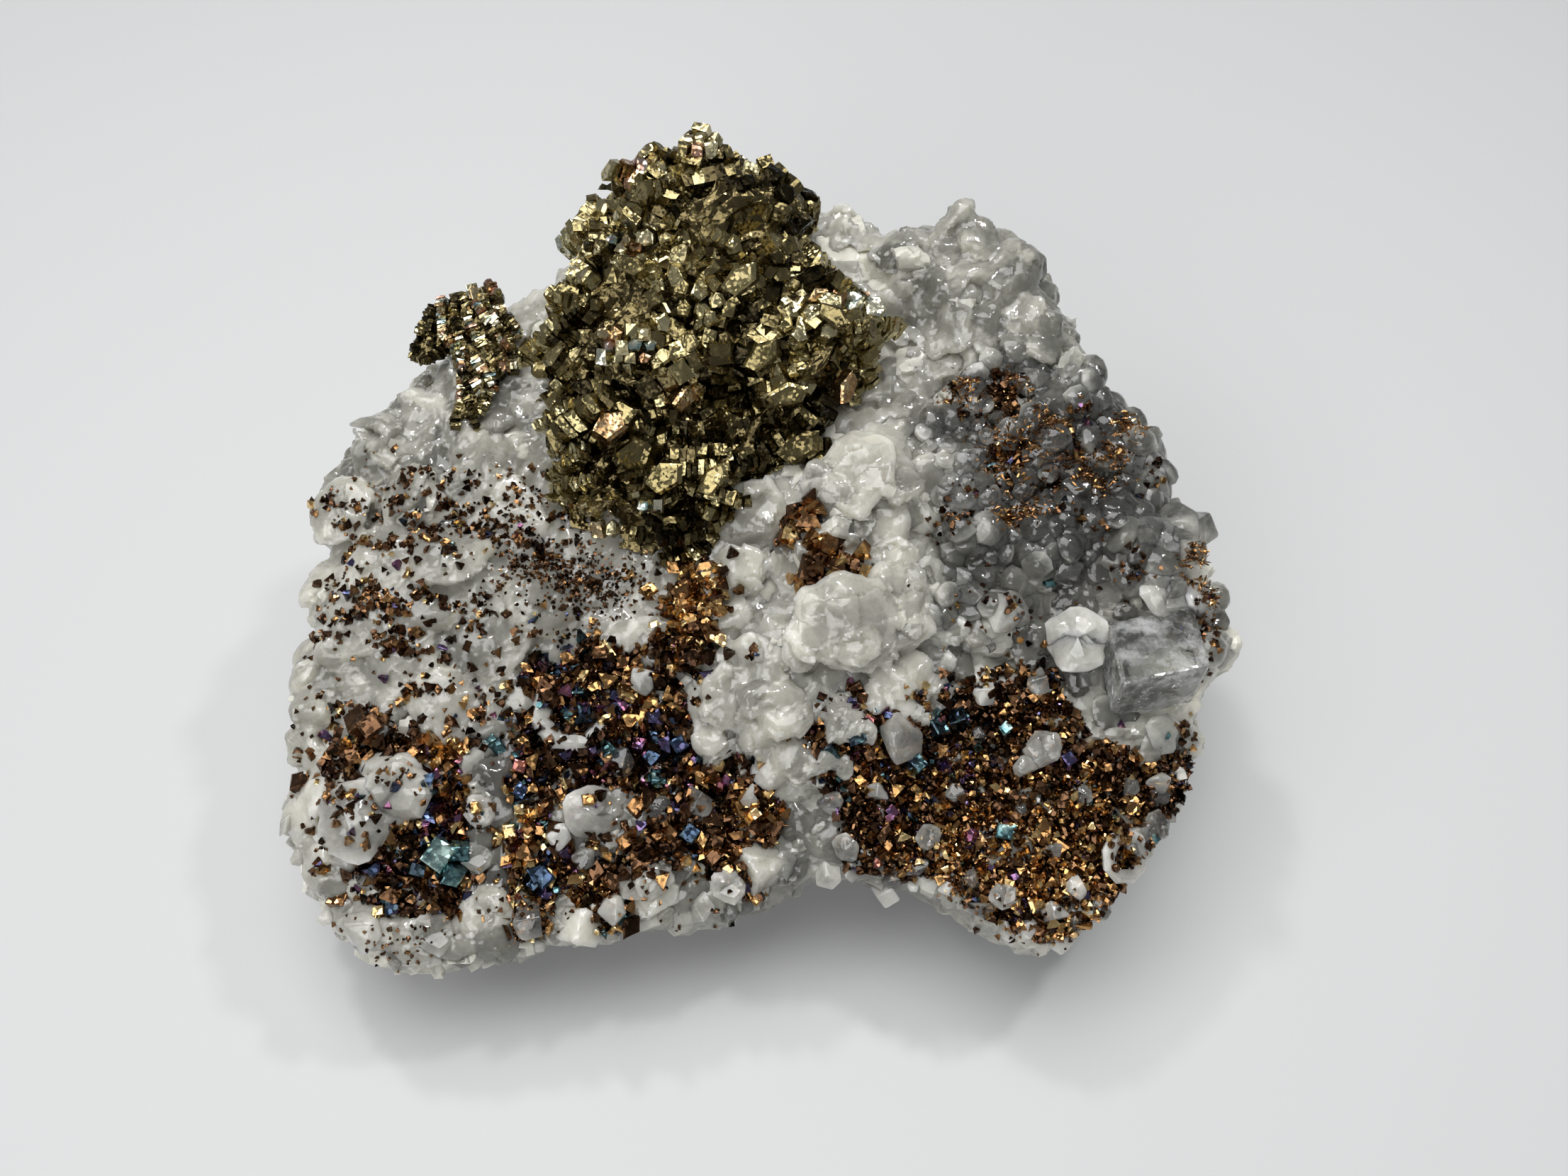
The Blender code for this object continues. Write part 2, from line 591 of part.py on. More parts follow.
def make_brass(hill, rng):
    """The mound and the spray, which are cut to stand on the hill."""
    ground_rows = [[Vector((x, y, 0)) for x, y, _, _ in hill.rim]]
    ground = helper_group("ground", [hill.closed_mesh(CRUST_GAP, ground_rows)])
    mound = make_object("brassy_mound", mound_core(), (0.46, 0.40, 0.20), 0.3, 1)
    add_boolean(mound, "UNION", helper_group("mound_bars", mound_bars(rng)))
    add_boolean(mound, "DIFFERENCE", ground)
    sprays = []
    for x, y, length, turn in SPRAY_BARS:
        sprays.append(bar(rng, x, y, surface(x, y) + 1.2, length, turn, 0, surface))
    spray = make_object("brassy_spray", sprays[0], (0.46, 0.40, 0.20), 0.3, 1)
    add_boolean(spray, "UNION", helper_group("spray_bars", sprays[1:]))
    add_boolean(spray, "DIFFERENCE", ground)


def main():
    for obj in list(bpy.data.objects):
        bpy.data.objects.remove(obj)
    rng = random.Random(SEED)
    hill = Hill(rng)
    make_calcite(hill, rng)
    make_brass(hill, rng)
    for name, faces in hill.crusts.items():
        make_crust(hill, name, faces, rng)


main()
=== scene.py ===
"""Peacock ore: a hill of white calcite that carries a brassy mound and crusts of tarnished crystals.

Places and sizes are worked out in millimetres and turned to metres where a mesh is made. The scale of a
pattern counts its cells to the metre, so 500 makes cells of 2 mm.
"""

import math
import random

import bmesh
import bpy
import numpy as np
from mathutils import Matrix, Vector, noise
from mathutils.bvhtree import BVHTree


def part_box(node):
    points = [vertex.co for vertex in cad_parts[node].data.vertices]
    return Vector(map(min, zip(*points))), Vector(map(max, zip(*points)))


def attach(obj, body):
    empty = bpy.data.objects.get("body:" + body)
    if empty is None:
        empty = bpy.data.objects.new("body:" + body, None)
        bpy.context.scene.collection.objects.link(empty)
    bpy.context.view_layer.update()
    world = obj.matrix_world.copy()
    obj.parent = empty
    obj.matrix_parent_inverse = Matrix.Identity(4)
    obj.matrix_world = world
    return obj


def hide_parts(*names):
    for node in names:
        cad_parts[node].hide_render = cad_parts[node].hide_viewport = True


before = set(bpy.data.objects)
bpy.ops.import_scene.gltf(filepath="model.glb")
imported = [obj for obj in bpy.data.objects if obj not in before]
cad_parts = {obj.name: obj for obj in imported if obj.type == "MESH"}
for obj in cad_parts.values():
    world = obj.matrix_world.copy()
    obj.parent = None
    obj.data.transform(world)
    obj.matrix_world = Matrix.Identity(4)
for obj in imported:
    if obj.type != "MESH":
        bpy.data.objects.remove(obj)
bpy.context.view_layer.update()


# The hill: white calcite that grew as one mass, studded with blunt rhombs on its rim, walls and back. It
# broke from the rock with rough walls and a broad flat spot that lies on the table. Light soaks into it,
# because tiny fluid bubbles make it milky, and its glassy faces are broken by fine steps.
def linear(code):
    """An sRGB hex colour as linear red, green, blue and alpha."""
    channels = [int(code[k : k + 2], 16) / 255 for k in (1, 3, 5)]
    return [c / 12.92 if c <= 0.04045 else ((c + 0.055) / 1.055) ** 2.4 for c in channels] + [1.0]


def add(tree, kind, settings, links=None):
    """Adds a node, with its settings, the colour steps of a ramp, and the sockets that feed it."""
    node = tree.nodes.new("ShaderNode" + kind)
    for key, value in settings.items():
        if key == "steps":
            elements = node.color_ramp.elements
            for _ in value[2:]:
                elements.new(0.5)
            for element, (position, code) in zip(elements, value):
                element.position = position
                element.color = linear(code)
        elif isinstance(key, str) and hasattr(node, key):
            setattr(node, key, value)
        else:
            node.inputs[key].default_value = value
    for key, source in (links or {}).items():
        tree.links.new(source, node.inputs[key])
    return node


def new_material(name):
    material = bpy.data.materials.new(name)
    material.use_nodes = True
    material.node_tree.nodes.clear()
    return material, material.node_tree


def facet_height(tree, place, scale):
    """The height of small flat faces that each tip their own way, as a growth face or a fresh break has."""
    cells = add(tree, "TexVoronoi", {"Scale": scale}, {"Vector": place})
    away = add(tree, "VectorMath", {"operation": "SUBTRACT"}, {0: place, 1: cells.outputs["Position"]})
    tip = add(tree, "VectorMath", {"operation": "SUBTRACT", 1: (0.5, 0.5, 0.5)}, {0: cells.outputs["Color"]})
    height = add(tree, "VectorMath", {"operation": "DOT_PRODUCT"}, {0: away.outputs[0], 1: tip.outputs[0]})
    return height.outputs["Value"]


CALCITE_IOR = 1.6


def calcite_material(name, steps, clear_to, soak, roughness):
    """Calcite from milky to clear, as its tint says: clear_to is the share of light that passes where it is
    clearest, and soak is how far light spreads inside, in metres. Specks of 1.4 mm and zones of 8 mm cloud it,
    and its faces are 2 mm wide, with steps of 0.4 mm, drawn coarser than the real ones so that they show."""
    material, tree = new_material(name)
    place = add(tree, "TexCoord", {}).outputs["Object"]
    specks = add(tree, "TexNoise", {"Scale": 700.0, "Detail": 6.0, "Roughness": 0.75}, {"Vector": place})
    zones = add(tree, "TexNoise", {"Scale": 130.0, "Detail": 2.0, "Roughness": 0.4}, {"Vector": place})
    clear_share = add(tree, "Attribute", {"attribute_name": "tint"}).outputs["Fac"]
    for cloud, weight in ((specks, 0.26), (zones, 0.42)):
        mix = {"operation": "MULTIPLY_ADD", 1: weight}
        clear_share = add(tree, "Math", mix, {0: cloud.outputs["Fac"], 2: clear_share}).outputs[0]
    milk = add(tree, "ValToRGB", {"steps": steps}, {"Fac": clear_share})
    relief = {}
    for scale, slope in ((500.0, 0.14), (2600.0, 0.07)):
        height = facet_height(tree, place, scale)
        bump = add(tree, "Bump", {"Strength": 1.0, "Distance": slope}, {"Height": height, **relief})
        relief = {"Normal": bump.outputs["Normal"]}
    shader = add(
        tree, "BsdfPrincipled",
        {
            "Roughness": roughness, "IOR": CALCITE_IOR, "Subsurface Weight": 1.0, "Subsurface Scale": soak,
            "Subsurface Radius": (1.0, 0.98, 0.9),
        },
        {"Base Color": milk.outputs["Color"], **relief},
    )
    if clear_to:
        through = add(tree, "MapRange", {1: 0.15, 2: 0.6, 3: 0.3 * clear_to, 4: clear_to}, {"Value": clear_share})
        tree.links.new(through.outputs[0], shader.inputs["Transmission Weight"])
    add(tree, "OutputMaterial", {}, {"Surface": shader.outputs[0]})
    return material


MILK_STEPS = [(0.05, "#EBE8DC"), (0.28, "#DCD9CC"), (0.46, "#C2C0B5"), (0.66, "#95948C"), (0.85, "#66645E")]
milky_calcite = calcite_material("milky_calcite", MILK_STEPS, clear_to=0, soak=0.0014, roughness=0.24)
MM = 0.001


def solid(node):
    """The points and faces of a CAD solid, merged, in millimetres."""
    bm = bmesh.new()
    bm.from_mesh(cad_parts[node].data)
    bmesh.ops.remove_doubles(bm, verts=bm.verts, dist=1e-6)
    bmesh.ops.scale(bm, vec=(1000, 1000, 1000), verts=bm.verts)
    return bm


def placed(name, data):
    """A new object in the scene, at the origin."""
    obj = bpy.data.objects.new(name, data)
    bpy.context.scene.collection.objects.link(obj)
    return obj


def grown_together(bm, voxel):
    """One closed skin round overlapping solids, in even faces about one voxel wide."""
    mesh = bpy.data.meshes.new("skin")
    bm.to_mesh(mesh)
    bm.free()
    obj = placed("skin", mesh)
    remesh = obj.modifiers.new("skin", "REMESH")
    remesh.mode = "VOXEL"
    remesh.voxel_size = voxel
    graph = bpy.context.evaluated_depsgraph_get()
    skin = bmesh.new()
    skin.from_object(obj, graph)
    bpy.data.objects.remove(obj)
    bpy.data.meshes.remove(mesh)
    return skin


def smoothed(bm, rounds):
    for _ in range(rounds):
        bmesh.ops.smooth_vert(bm, verts=bm.verts, factor=0.5, use_axis_x=True, use_axis_y=True, use_axis_z=True)
    bm.normal_update()
    return bm


def seats_of(bm):
    return [(v.co.copy(), v.normal.copy()) for v in bm.verts]


# The smooth skin that every crystal is seated on.
hill = smoothed(grown_together(solid("calcite_matrix"), 1.4), 6)
hill_seats = seats_of(hill)


def spread_out(rng, seats, spacing, wanted):
    """Seats picked from a skin's points, at least one spacing apart, where wanted says yes."""
    order = [seat for seat in seats if wanted(*seat)]
    rng.shuffle(order)
    taken, cells = [], {}
    for place, normal in order:
        cell = tuple(int(c // spacing) for c in place)
        near = (
            cells.get((cell[0] + i, cell[1] + j, cell[2] + k), ())
            for i in (-1, 0, 1) for j in (-1, 0, 1) for k in (-1, 0, 1)
        )
        if all((place - other).length > spacing for group in near for other in group):
            cells.setdefault(cell, []).append(place)
            taken.append((place, normal))
    return taken


def sized(size):
    return Matrix.Diagonal((*size, 1) if isinstance(size, tuple) else (size, size, size, 1))


def stand(place, normal, size, turn=0.0, lean=0.0, lean_way=0.0):
    """Sizes a form, turns it about its axis, leans it one way and stands it along a normal."""
    upright = normal.to_track_quat("Z", "Y").to_matrix().to_4x4()
    leant = Matrix.Rotation(lean_way, 4, "Z") @ Matrix.Rotation(lean, 4, "X")
    return Matrix.Translation(place) @ upright @ (leant @ Matrix.Rotation(turn - lean_way, 4, "Z")) @ sized(size)


def form(bm, shade=None):
    """The points, faces and painted shading of a finished crystal form, kept for setting many of them."""
    bmesh.ops.recalc_face_normals(bm, faces=bm.faces)
    bm.verts.index_update()
    corners = np.array([v.co for v in bm.verts])
    sides = [[v.index for v in face.verts] for face in bm.faces]
    shades = np.array([shade(v.co) if shade else 0.0 for v in bm.verts])
    bm.free()
    return corners, sides, shades


def painted_rim_highlight(co):
    """Painted highlight: whiter at a crystal's rim, standing in for the light its edge scatters, and greyer in the
    middle, where in the glassier calcites the tint also lets more light through.
    """
    out = min(1.0, math.hypot(co.x, co.y) * 2)
    return 0.08 - 0.28 * out**6


# The forms that calcite takes, each one unit wide: low nail-head rhombs and blunt points with worn edges,
# broken chunks, and petals, which are nail-heads whose faces curve.
def worn(bm, edges, wear, rounds, clamped=False):
    bmesh.ops.bevel(
        bm, geom=edges, offset=wear, segments=rounds, profile=0.5, affect="EDGES", material=-1, clamp_overlap=clamped
    )


def rhomb_form(point_height, wear, rounds):
    bm = bmesh.new()
    bm.verts.new((0, 0, point_height))
    bm.verts.new((0, 0, -point_height))
    for k in range(6):
        side = point_height / 3 if k % 2 else -point_height / 3
        bm.verts.new((math.cos(math.tau * k / 6) / 2, math.sin(math.tau * k / 6) / 2, side))
    bmesh.ops.convex_hull(bm, input=bm.verts)
    bmesh.ops.dissolve_limit(bm, angle_limit=0.01, verts=bm.verts, edges=bm.edges)
    worn(bm, bm.edges, wear, rounds, clamped=True)
    return form(bm, painted_rim_highlight)


def any_way(rng):
    return Vector((rng.gauss(0, 1), rng.gauss(0, 1), rng.gauss(0, 1))).normalized()


def chunk_form(rng, corners):
    """An uneven many-faced lump, as a broken or crowded crystal is."""
    bm = bmesh.new()
    for _ in range(corners):
        spot = any_way(rng)
        bm.verts.new((spot.x * 0.5, spot.y * 0.42, spot.z * 0.34))
    bmesh.ops.convex_hull(bm, input=bm.verts)
    bmesh.ops.dissolve_limit(bm, angle_limit=0.35, verts=bm.verts, edges=bm.edges)
    worn(bm, bm.edges, 0.035, 2)
    return form(bm, painted_rim_highlight)


def facet(spot, seed):
    """The height at a spot of flat faces one unit across, each tipped its own way."""
    heart = noise.voronoi(spot)[1][0]
    return (spot - heart).dot(noise.cell_vector(heart * seed) - Vector((0.5, 0.5, 0.5)))


PETAL_FACET = 0.42
PETAL_LOBE = 0.07


def petal_form(rng, height):
    """A low dome with flat faces over a scalloped, many-sided outline, and a shallower dome below."""
    bm = bmesh.new()
    bmesh.ops.create_uvsphere(bm, u_segments=24, v_segments=9, radius=0.5)
    phases = [rng.uniform(0, math.tau) for _ in range(4)]
    corners = rng.choice((5, 6, 7))
    shift = Vector((rng.uniform(0, 50), rng.uniform(0, 50), 0))
    for v in bm.verts:
        angle = math.atan2(v.co.y, v.co.x)
        off_side = (angle + phases[0]) % (math.tau / corners) - math.pi / corners
        straight = math.cos(math.pi / corners) / math.cos(off_side)
        edge = 0.35 + 0.65 * straight + PETAL_LOBE * math.sin(2 * angle + phases[1])
        edge += 0.5 * PETAL_LOBE * math.sin(11 * angle + phases[2]) * math.sin(3 * angle + phases[3])
        out = min(1.0, math.hypot(v.co.x, v.co.y) * 2)
        v.co.x *= edge
        v.co.y *= edge
        rise = (1 - out**4.5) * (1 + 1.5 * facet((v.co + shift) / PETAL_FACET, 5.1))
        v.co.z = math.copysign(rise * height * (1 if v.co.z > 0 else 0.6), v.co.z)
    return form(bm, painted_rim_highlight)


shape_rng = random.Random(3)
nail_heads = [rhomb_form(0.26, 0.05, 2), rhomb_form(0.34, 0.08, 3)]
blunt_points = [rhomb_form(0.5, 0.1, 3), rhomb_form(0.62, 0.07, 2)]
chunks = [chunk_form(shape_rng, corners) for corners in (12, 14, 16, 18)]
petals = [petal_form(shape_rng, height) for height in (0.11, 0.15, 0.18, 0.22, 0.26, 0.16)]


def set_crystals(crystals):
    """The points, faces and tints of many crystals, each given as its form, its matrix and its tint."""
    points, faces, tints, start = [], [], [], 0
    for (corners, sides, shades), matrix, tint in crystals:
        turn = np.array(matrix)
        points.append(corners @ turn[:3, :3].T + turn[:3, 3])
        faces += [[start + k for k in side] for side in sides]
        # Each crystal's tint takes its form's painted rim highlight on top.
        tints.append(tint + shades)
        start += len(corners)
    return np.concatenate(points), faces, np.concatenate(tints)


def poured(bm, points, faces):
    """A bmesh with more points and faces added."""
    mesh = bpy.data.meshes.new("growth")
    mesh.from_pydata(points, [], faces)
    bm.from_mesh(mesh)
    bpy.data.meshes.remove(mesh)
    return bm


def cut_facets(bm, width, slope):
    """Breaks a skin into small flat faces about one width across, each tipped its own way."""
    for v in bm.verts:
        v.co += v.normal * facet(v.co / width, 7.3) * slope * width
    bm.normal_update()


# The rhombs that stud the walls, smaller in front, sunk in by a fifth of their width.
grow_rng = random.Random(21)
growth = []
for place, normal in spread_out(grow_rng, hill_seats, 6.0, lambda place, normal: normal.z < 0.6 and place.z > 9):
    in_front = normal.y < -0.5 and abs(place.x) < 58
    width = grow_rng.uniform(3, 6) if in_front else grow_rng.uniform(6, 11)
    shape = grow_rng.choice(nail_heads + blunt_points[:1] + petals[1:3])
    lean, way = grow_rng.uniform(0, 0.6), grow_rng.uniform(0, math.tau)
    growth.append((shape, stand(place - normal * width * 0.18, normal, width, way * 3, lean, way), 0))
points, faces, _ = set_crystals(growth)
body = smoothed(grown_together(solid("calcite_matrix"), 1.0), 3)
white = grown_together(poured(body, points, faces), 0.85)
white.normal_update()
cut_facets(white, 4.5, 0.6)
cut_facets(white, 2.1, 0.45)
for v in white.verts:
    v.co.z = max(v.co.z, 0.0)

# Where the calcite is clear and dark rather than milky: how far, as (x, y, radius, share).
CLEAR_GROUND = [
    (40, 6, 15, 0.5), (32, 33, 12, 0.15), (44, -14, 9, 0.25), (-50, 14, 14, 0.25), (0, -50, 14, 0.3),
    (-35, -40, 18, 0.34), (30, -35, 25, 0.4), (-2, -17, 5, 0.12), (-36, -10, 16, 0.1),
]


def fading(x, y, places):
    """The summed share of round places at a spot, each fading out over its radius."""
    return sum(share * math.exp(-((x - a) ** 2 + (y - b) ** 2) / radius**2) for a, b, radius, share in places)


def clearness(place, normal=None):
    """How clear the calcite is at a place: by the list above, and a little greyer on the broken walls, whose faces
    turn sideways or down.
    """
    return min(1, fading(place.x, place.y, CLEAR_GROUND) + (0.08 if normal and normal.z < 0.1 else 0))


def finished(name, mesh, material, crisp):
    """A piece that rides on the specimen: flat-faced, or smooth but for creases of more than crisp degrees."""
    mesh.materials.append(material)
    mesh.polygons.foreach_set("use_smooth", [crisp is not None] * len(mesh.polygons))
    if crisp:
        mesh.set_sharp_from_angle(angle=math.radians(crisp))
    mesh.update()
    piece = placed(name, mesh)
    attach(piece, "root")
    return piece


def skin_piece(name, bm, material, tint_at, crisp=None):
    """One piece made of a skin in millimetres, with its tint by place."""
    layer = bm.verts.layers.float.new("tint")
    for v in bm.verts:
        v[layer] = tint_at(v.co, v.normal)
    bmesh.ops.scale(bm, vec=(MM, MM, MM), verts=bm.verts)
    mesh = bpy.data.meshes.new(name)
    bm.to_mesh(mesh)
    bm.free()
    return finished(name, mesh, material, crisp)


calcite = skin_piece("calcite_hill", white, milky_calcite, clearness, crisp=28)
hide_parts("calcite_matrix")


# Milky crystals on the hill, grown into each other and into it: scalloped petals that open from the middle
# like a cabbage rose, a lumpy saddle behind them, low domes, feather-like blades and blunt points at the
# left. They are cleaner calcite than the hill, so light passes deeper and their faces are glossier.
grown_calcite = calcite_material("grown_calcite", MILK_STEPS, clear_to=0.6, soak=0.0035, roughness=0.12)
hill_skin = BVHTree.FromBMesh(hill)


def on_top(x, y, skin=hill_skin):
    """The seat and the upward normal straight below a place on the plan, or None beside the piece."""
    place, normal, _, _ = skin.ray_cast(Vector((x, y, 200)), Vector((0, 0, -1)))
    return (place, normal) if place else None


def in_ovals(x, y, ovals):
    return any(((x - ox) / a) ** 2 + ((y - oy) / b) ** 2 < 1 for ox, oy, a, b in ovals)


def plan_field(rng, spacing, low, high):
    """Places on the plan at an even but irregular spacing."""
    places = []
    row_height = spacing * math.sqrt(3) / 2
    for i in range(int((high[1] - low[1]) / row_height) + 1):
        for j in range(int((high[0] - low[0]) / spacing) + 1):
            x = low[0] + (j + (i % 2) / 2 + rng.uniform(-0.28, 0.28)) * spacing
            y = low[1] + i * row_height + rng.uniform(-0.28, 0.28) * spacing
            places.append((x, y))
    return places


CRUST_NODES = ("crust_front_left", "crust_front_middle", "crust_centre", "crust_front_right", "crust_knoll")
crust_skins = {node: BVHTree.FromBMesh(solid(node)) for node in CRUST_NODES}


def on_crust(x, y):
    return any(on_top(x, y, skin) for skin in crust_skins.values())


def grown_piece(name, crystals, voxel, facet_width, facet_slope):
    """One piece of crystals that have grown into each other in one closed skin; each keeps its own tint."""
    points, faces, tints = set_crystals(crystals)
    nearest = BVHTree.FromPolygons(points.tolist(), faces)
    bm = smoothed(grown_together(poured(bmesh.new(), points, faces), voxel), 1)
    cut_facets(bm, facet_width, facet_slope)

    def tint_at(place, normal):
        return tints[faces[nearest.find_nearest(place)[2]]].mean()

    return skin_piece(name, bm, grown_calcite, tint_at, crisp=24)


ROSETTE_HEART = (6, -19)
ROSETTE = [
    # plan place, width, lean away from the heart of the rosette, in degrees
    (11.8, 1, 12.5, 8), (8, -2.5, 9.5, 12), (16, 0.5, 9, 12), (-2.6, -0.7, 11.3, 25), (16.8, -8.2, 7, 25),
    (9.9, -17.2, 14.2, 35), (16.4, -14.7, 12, 20), (22.4, -15.6, 6.3, 35), (17.1, -22.8, 10.4, 30),
    (22.9, -19.9, 3.8, 45), (1.9, -26.9, 8.3, 25), (-4.9, -25.4, 8.5, 35), (-7, -29.3, 6.6, 40),
    (-1.7, -21.6, 10.3, 15), (-3.5, -8.7, 9.1, 20), (3.8, -32, 6.9, 40), (0.2, -33.2, 5.5, 35), (9.3, -27.5, 6.5, 30),
    (9.2, -6.7, 9.5, 20), (22, -8.7, 4.8, 30), (19.7, -2, 5.9, 20), (-5.2, -14.9, 7.6, 15), (7.4, -31.8, 5.5, 40),
    (-7.9, -25.4, 5.7, 35), (6.2, 0.9, 5.7, 20), (14.8, -4.5, 8.7, 20), (19.6, -25.7, 5.7, 40),
    (25.2, -16.2, 3.8, 40), (3.3, -20.7, 5.6, 20), (-0.9, -29.3, 6.5, 40), (12, -20, 6, 20), (-9.5, -19, 5, 25),
    (16, 6, 9, 15),
]
SHOULDER_Y = -5
petal_shells, saddle_shells, growth = [], [], []
for x, y, width, lean in ROSETTE:
    seat, up = on_top(x, y)
    across, along = x - ROSETTE_HEART[0], y - ROSETTE_HEART[1]
    inward = math.atan2(along, across) - math.pi / 2
    lift = 1.6 - 0.05 * math.hypot(across, along) if y < 3 else 0.3
    turned = stand(seat + up * lift, up, width * 1.05, grow_rng.uniform(0, 6), math.radians(8 + lean * 0.25), inward)
    shape = grow_rng.choice(petals[:3] if y > SHOULDER_Y else petals[1:] + nail_heads)
    petal_shells.append((shape, turned, grow_rng.uniform(-0.06, 0.08)))
    for _ in range(4):
        way = grow_rng.uniform(0, math.tau)
        aside = Vector((math.cos(way), math.sin(way), 0)) * width * grow_rng.uniform(0.15, 0.55)
        turned = stand(
            seat + aside + up * (lift - grow_rng.uniform(0.2, 1.2)), up, width * grow_rng.uniform(0.4, 0.7),
            grow_rng.uniform(0, 6), math.radians(grow_rng.uniform(5, 40)), way - math.pi / 2,
        )
        shape = grow_rng.choice(petals if y > SHOULDER_Y else petals[1:] + nail_heads)
        petal_shells.append((shape, turned, grow_rng.uniform(-0.08, 0.18)))


def drawn(rng, *spans):
    """One random number from each span."""
    return tuple(rng.uniform(*span) for span in spans)


LEFT_DOMES = [
    (-58.2, -0.5, 9), (-48.8, 0.9, 8), (-36, -2.2, 12), (-29.9, -11.7, 11), (-37.7, -16.9, 12), (-28.9, -17.5, 7),
    (-42.6, -7.6, 10), (-50.3, -7.3, 12), (-53.6, -14.7, 11), (-58.6, -12.6, 8), (-61, -18.9, 8), (-56.5, -23.8, 9),
    (-49.2, -20.5, 11), (-42.2, -26, 9), (-46, -13.1, 9), (-20.8, -15.8, 7), (-53, -27, 9), (-34, -26, 8),
    (-14, -12, 8), (-12, -19, 6), (-23, -4, 9), (-16, -7, 7),
]
for x, y, width in LEFT_DOMES:
    seat, up = on_top(x, y)
    turned = stand(seat + up * width * 0.04, up, width * 1.2, *drawn(grow_rng, (0, 6), (0, 0.25), (0, 6)))
    growth.append((grow_rng.choice(petals[:2]), turned, grow_rng.uniform(-0.05, 0.18)))

BLADE_GROUND = [(-49, 13, 14, 8), (-36, 13, 6, 9), (-58, 9, 6, 6)]
BARE_OF_PETALS = [(-48, 14, 15, 8), (52, -20, 7, 8)]
SADDLE_GROUND = [(15, 30, 12, 24)]
for x, y in plan_field(grow_rng, 4.2, (-66, -56), (60, 54)):
    top = on_top(x, y)
    if not top or top[1].z < 0.35 or on_crust(x, y) or in_ovals(x, y, BARE_OF_PETALS):
        continue
    saddle = in_ovals(x, y, SADDLE_GROUND)
    ridge = x > 22
    width = grow_rng.uniform(3.5, 7) if saddle else grow_rng.uniform(4, 8)
    lean = grow_rng.uniform(0.1, 0.6) if saddle or ridge else grow_rng.uniform(0, 0.3)
    way = grow_rng.uniform(0, math.tau)
    lift = width * (0.08 if saddle else -0.02)
    turned = stand(top[0] + top[1] * lift, top[1], width, way * 3, lean, way)
    tint = clearness(top[0]) + grow_rng.uniform(-0.12, 0.08)
    (saddle_shells if x > -12 else growth).append((grow_rng.choice(petals), turned, tint))

# The blades point down to the right, and their ends step over each other.
for x, y in plan_field(grow_rng, 2.7, (-64, 3), (-30, 24)):
    top = on_top(x, y)
    if top and in_ovals(x, y, BLADE_GROUND):
        along = math.radians(-28 + (x + 48) * 0.9 + grow_rng.gauss(0, 9))
        blade = stand(top[0] + top[1] * 0.5, top[1], drawn(grow_rng, (6, 12), (2.0, 3.4), (3.5, 6)))
        turned = Matrix.Translation(top[0]) @ Matrix.Rotation(along, 4, top[1]) @ Matrix.Translation(-top[0]) @ blade
        growth.append((nail_heads[0], turned, grow_rng.uniform(0.0, 0.35)))

LEFT_POINTS = [
    (-61, 3, 10, 30), (-49, -37, 13, 12), (-59, -36, 9, 30), (-51, -51, 8, 20), (-56, -23, 8, 20), (-61, -7, 10, 35),
    (-62, -15, 9, 35), (-60, -25, 9, 30), (-36, -50, 8, 15), (-24, -51, 7, 15), (-15, -47, 8, 10), (-1, -44, 8, 10),
    (-64, -30, 9, 40), (-58, -44, 8, 30), (-63, -1, 7, 40), (-63.5, -10, 7, 45), (-64, -21, 7, 45), (-63, -36, 7, 40),
]
for x, y, width, lean in LEFT_POINTS:
    seat, up = on_top(x, y) or on_top(x * 0.95, y * 0.95)
    outward = math.atan2(y, x) + math.pi / 2
    shape = grow_rng.choice(blunt_points + petals[2:])
    turned = stand(seat, up, width, grow_rng.uniform(0, 6), math.radians(lean), outward)
    growth.append((shape, turned, grow_rng.uniform(-0.1, 0.1)))
petal_piece = grown_piece("calcite_petals", petal_shells, 0.38, 3.6, 0.36)
saddle_piece = grown_piece("calcite_saddle", saddle_shells, 0.55, 3.2, 0.32)
left_piece = grown_piece("calcite_left", growth, 0.5, 2.6, 0.28)


# The brassy mound: clean copper iron sulphide in plates two to three millimetres wide, packed in lumps. In
# each lump they share one run, either tiles that face out or slices of a loaf, with deep gaps between. It is
# olive gold, painted paler on its upper part as painted light and darker in the hollows as painted shade, with a
# rare pink or blue film, and glitters from fine flat faces.
def ore_material(name, steps, roughness, facet_scale, facet_slope):
    """Copper iron sulphide: its tint and patches of 1.7 mm set how far the film goes along its colours. The
    flat faces are drawn 0.4 to 0.6 mm wide, coarser than the real ones, so that each one flashes."""
    material, tree = new_material(name)
    place = add(tree, "TexCoord", {}).outputs["Object"]
    tint = add(tree, "Attribute", {"attribute_name": "tint"}).outputs["Fac"]
    patches = add(tree, "TexNoise", {"Scale": 600.0, "Detail": 3.0}, {"Vector": place}).outputs["Fac"]
    shifted = add(tree, "Math", {"operation": "MULTIPLY_ADD", 1: 0.2}, {0: patches, 2: tint})
    centred = add(tree, "Math", {"operation": "SUBTRACT", 1: 0.1, "use_clamp": True}, {0: shifted.outputs[0]})
    film = add(tree, "ValToRGB", {"steps": steps}, {"Fac": centred.outputs[0]})
    height = facet_height(tree, place, facet_scale)
    flats = add(tree, "Bump", {"Strength": 1.0, "Distance": facet_slope}, {"Height": height})
    gloss = add(tree, "MapRange", {1: 0.3, 2: 0.7, 3: roughness * 0.6, 4: roughness * 1.5}, {0: patches})
    shader = add(
        tree, "BsdfPrincipled", {"Metallic": 1.0},
        {"Base Color": film.outputs["Color"], "Roughness": gloss.outputs[0], "Normal": flats.outputs["Normal"]},
    )
    add(tree, "OutputMaterial", {}, {"Surface": shader.outputs[0]})
    return material


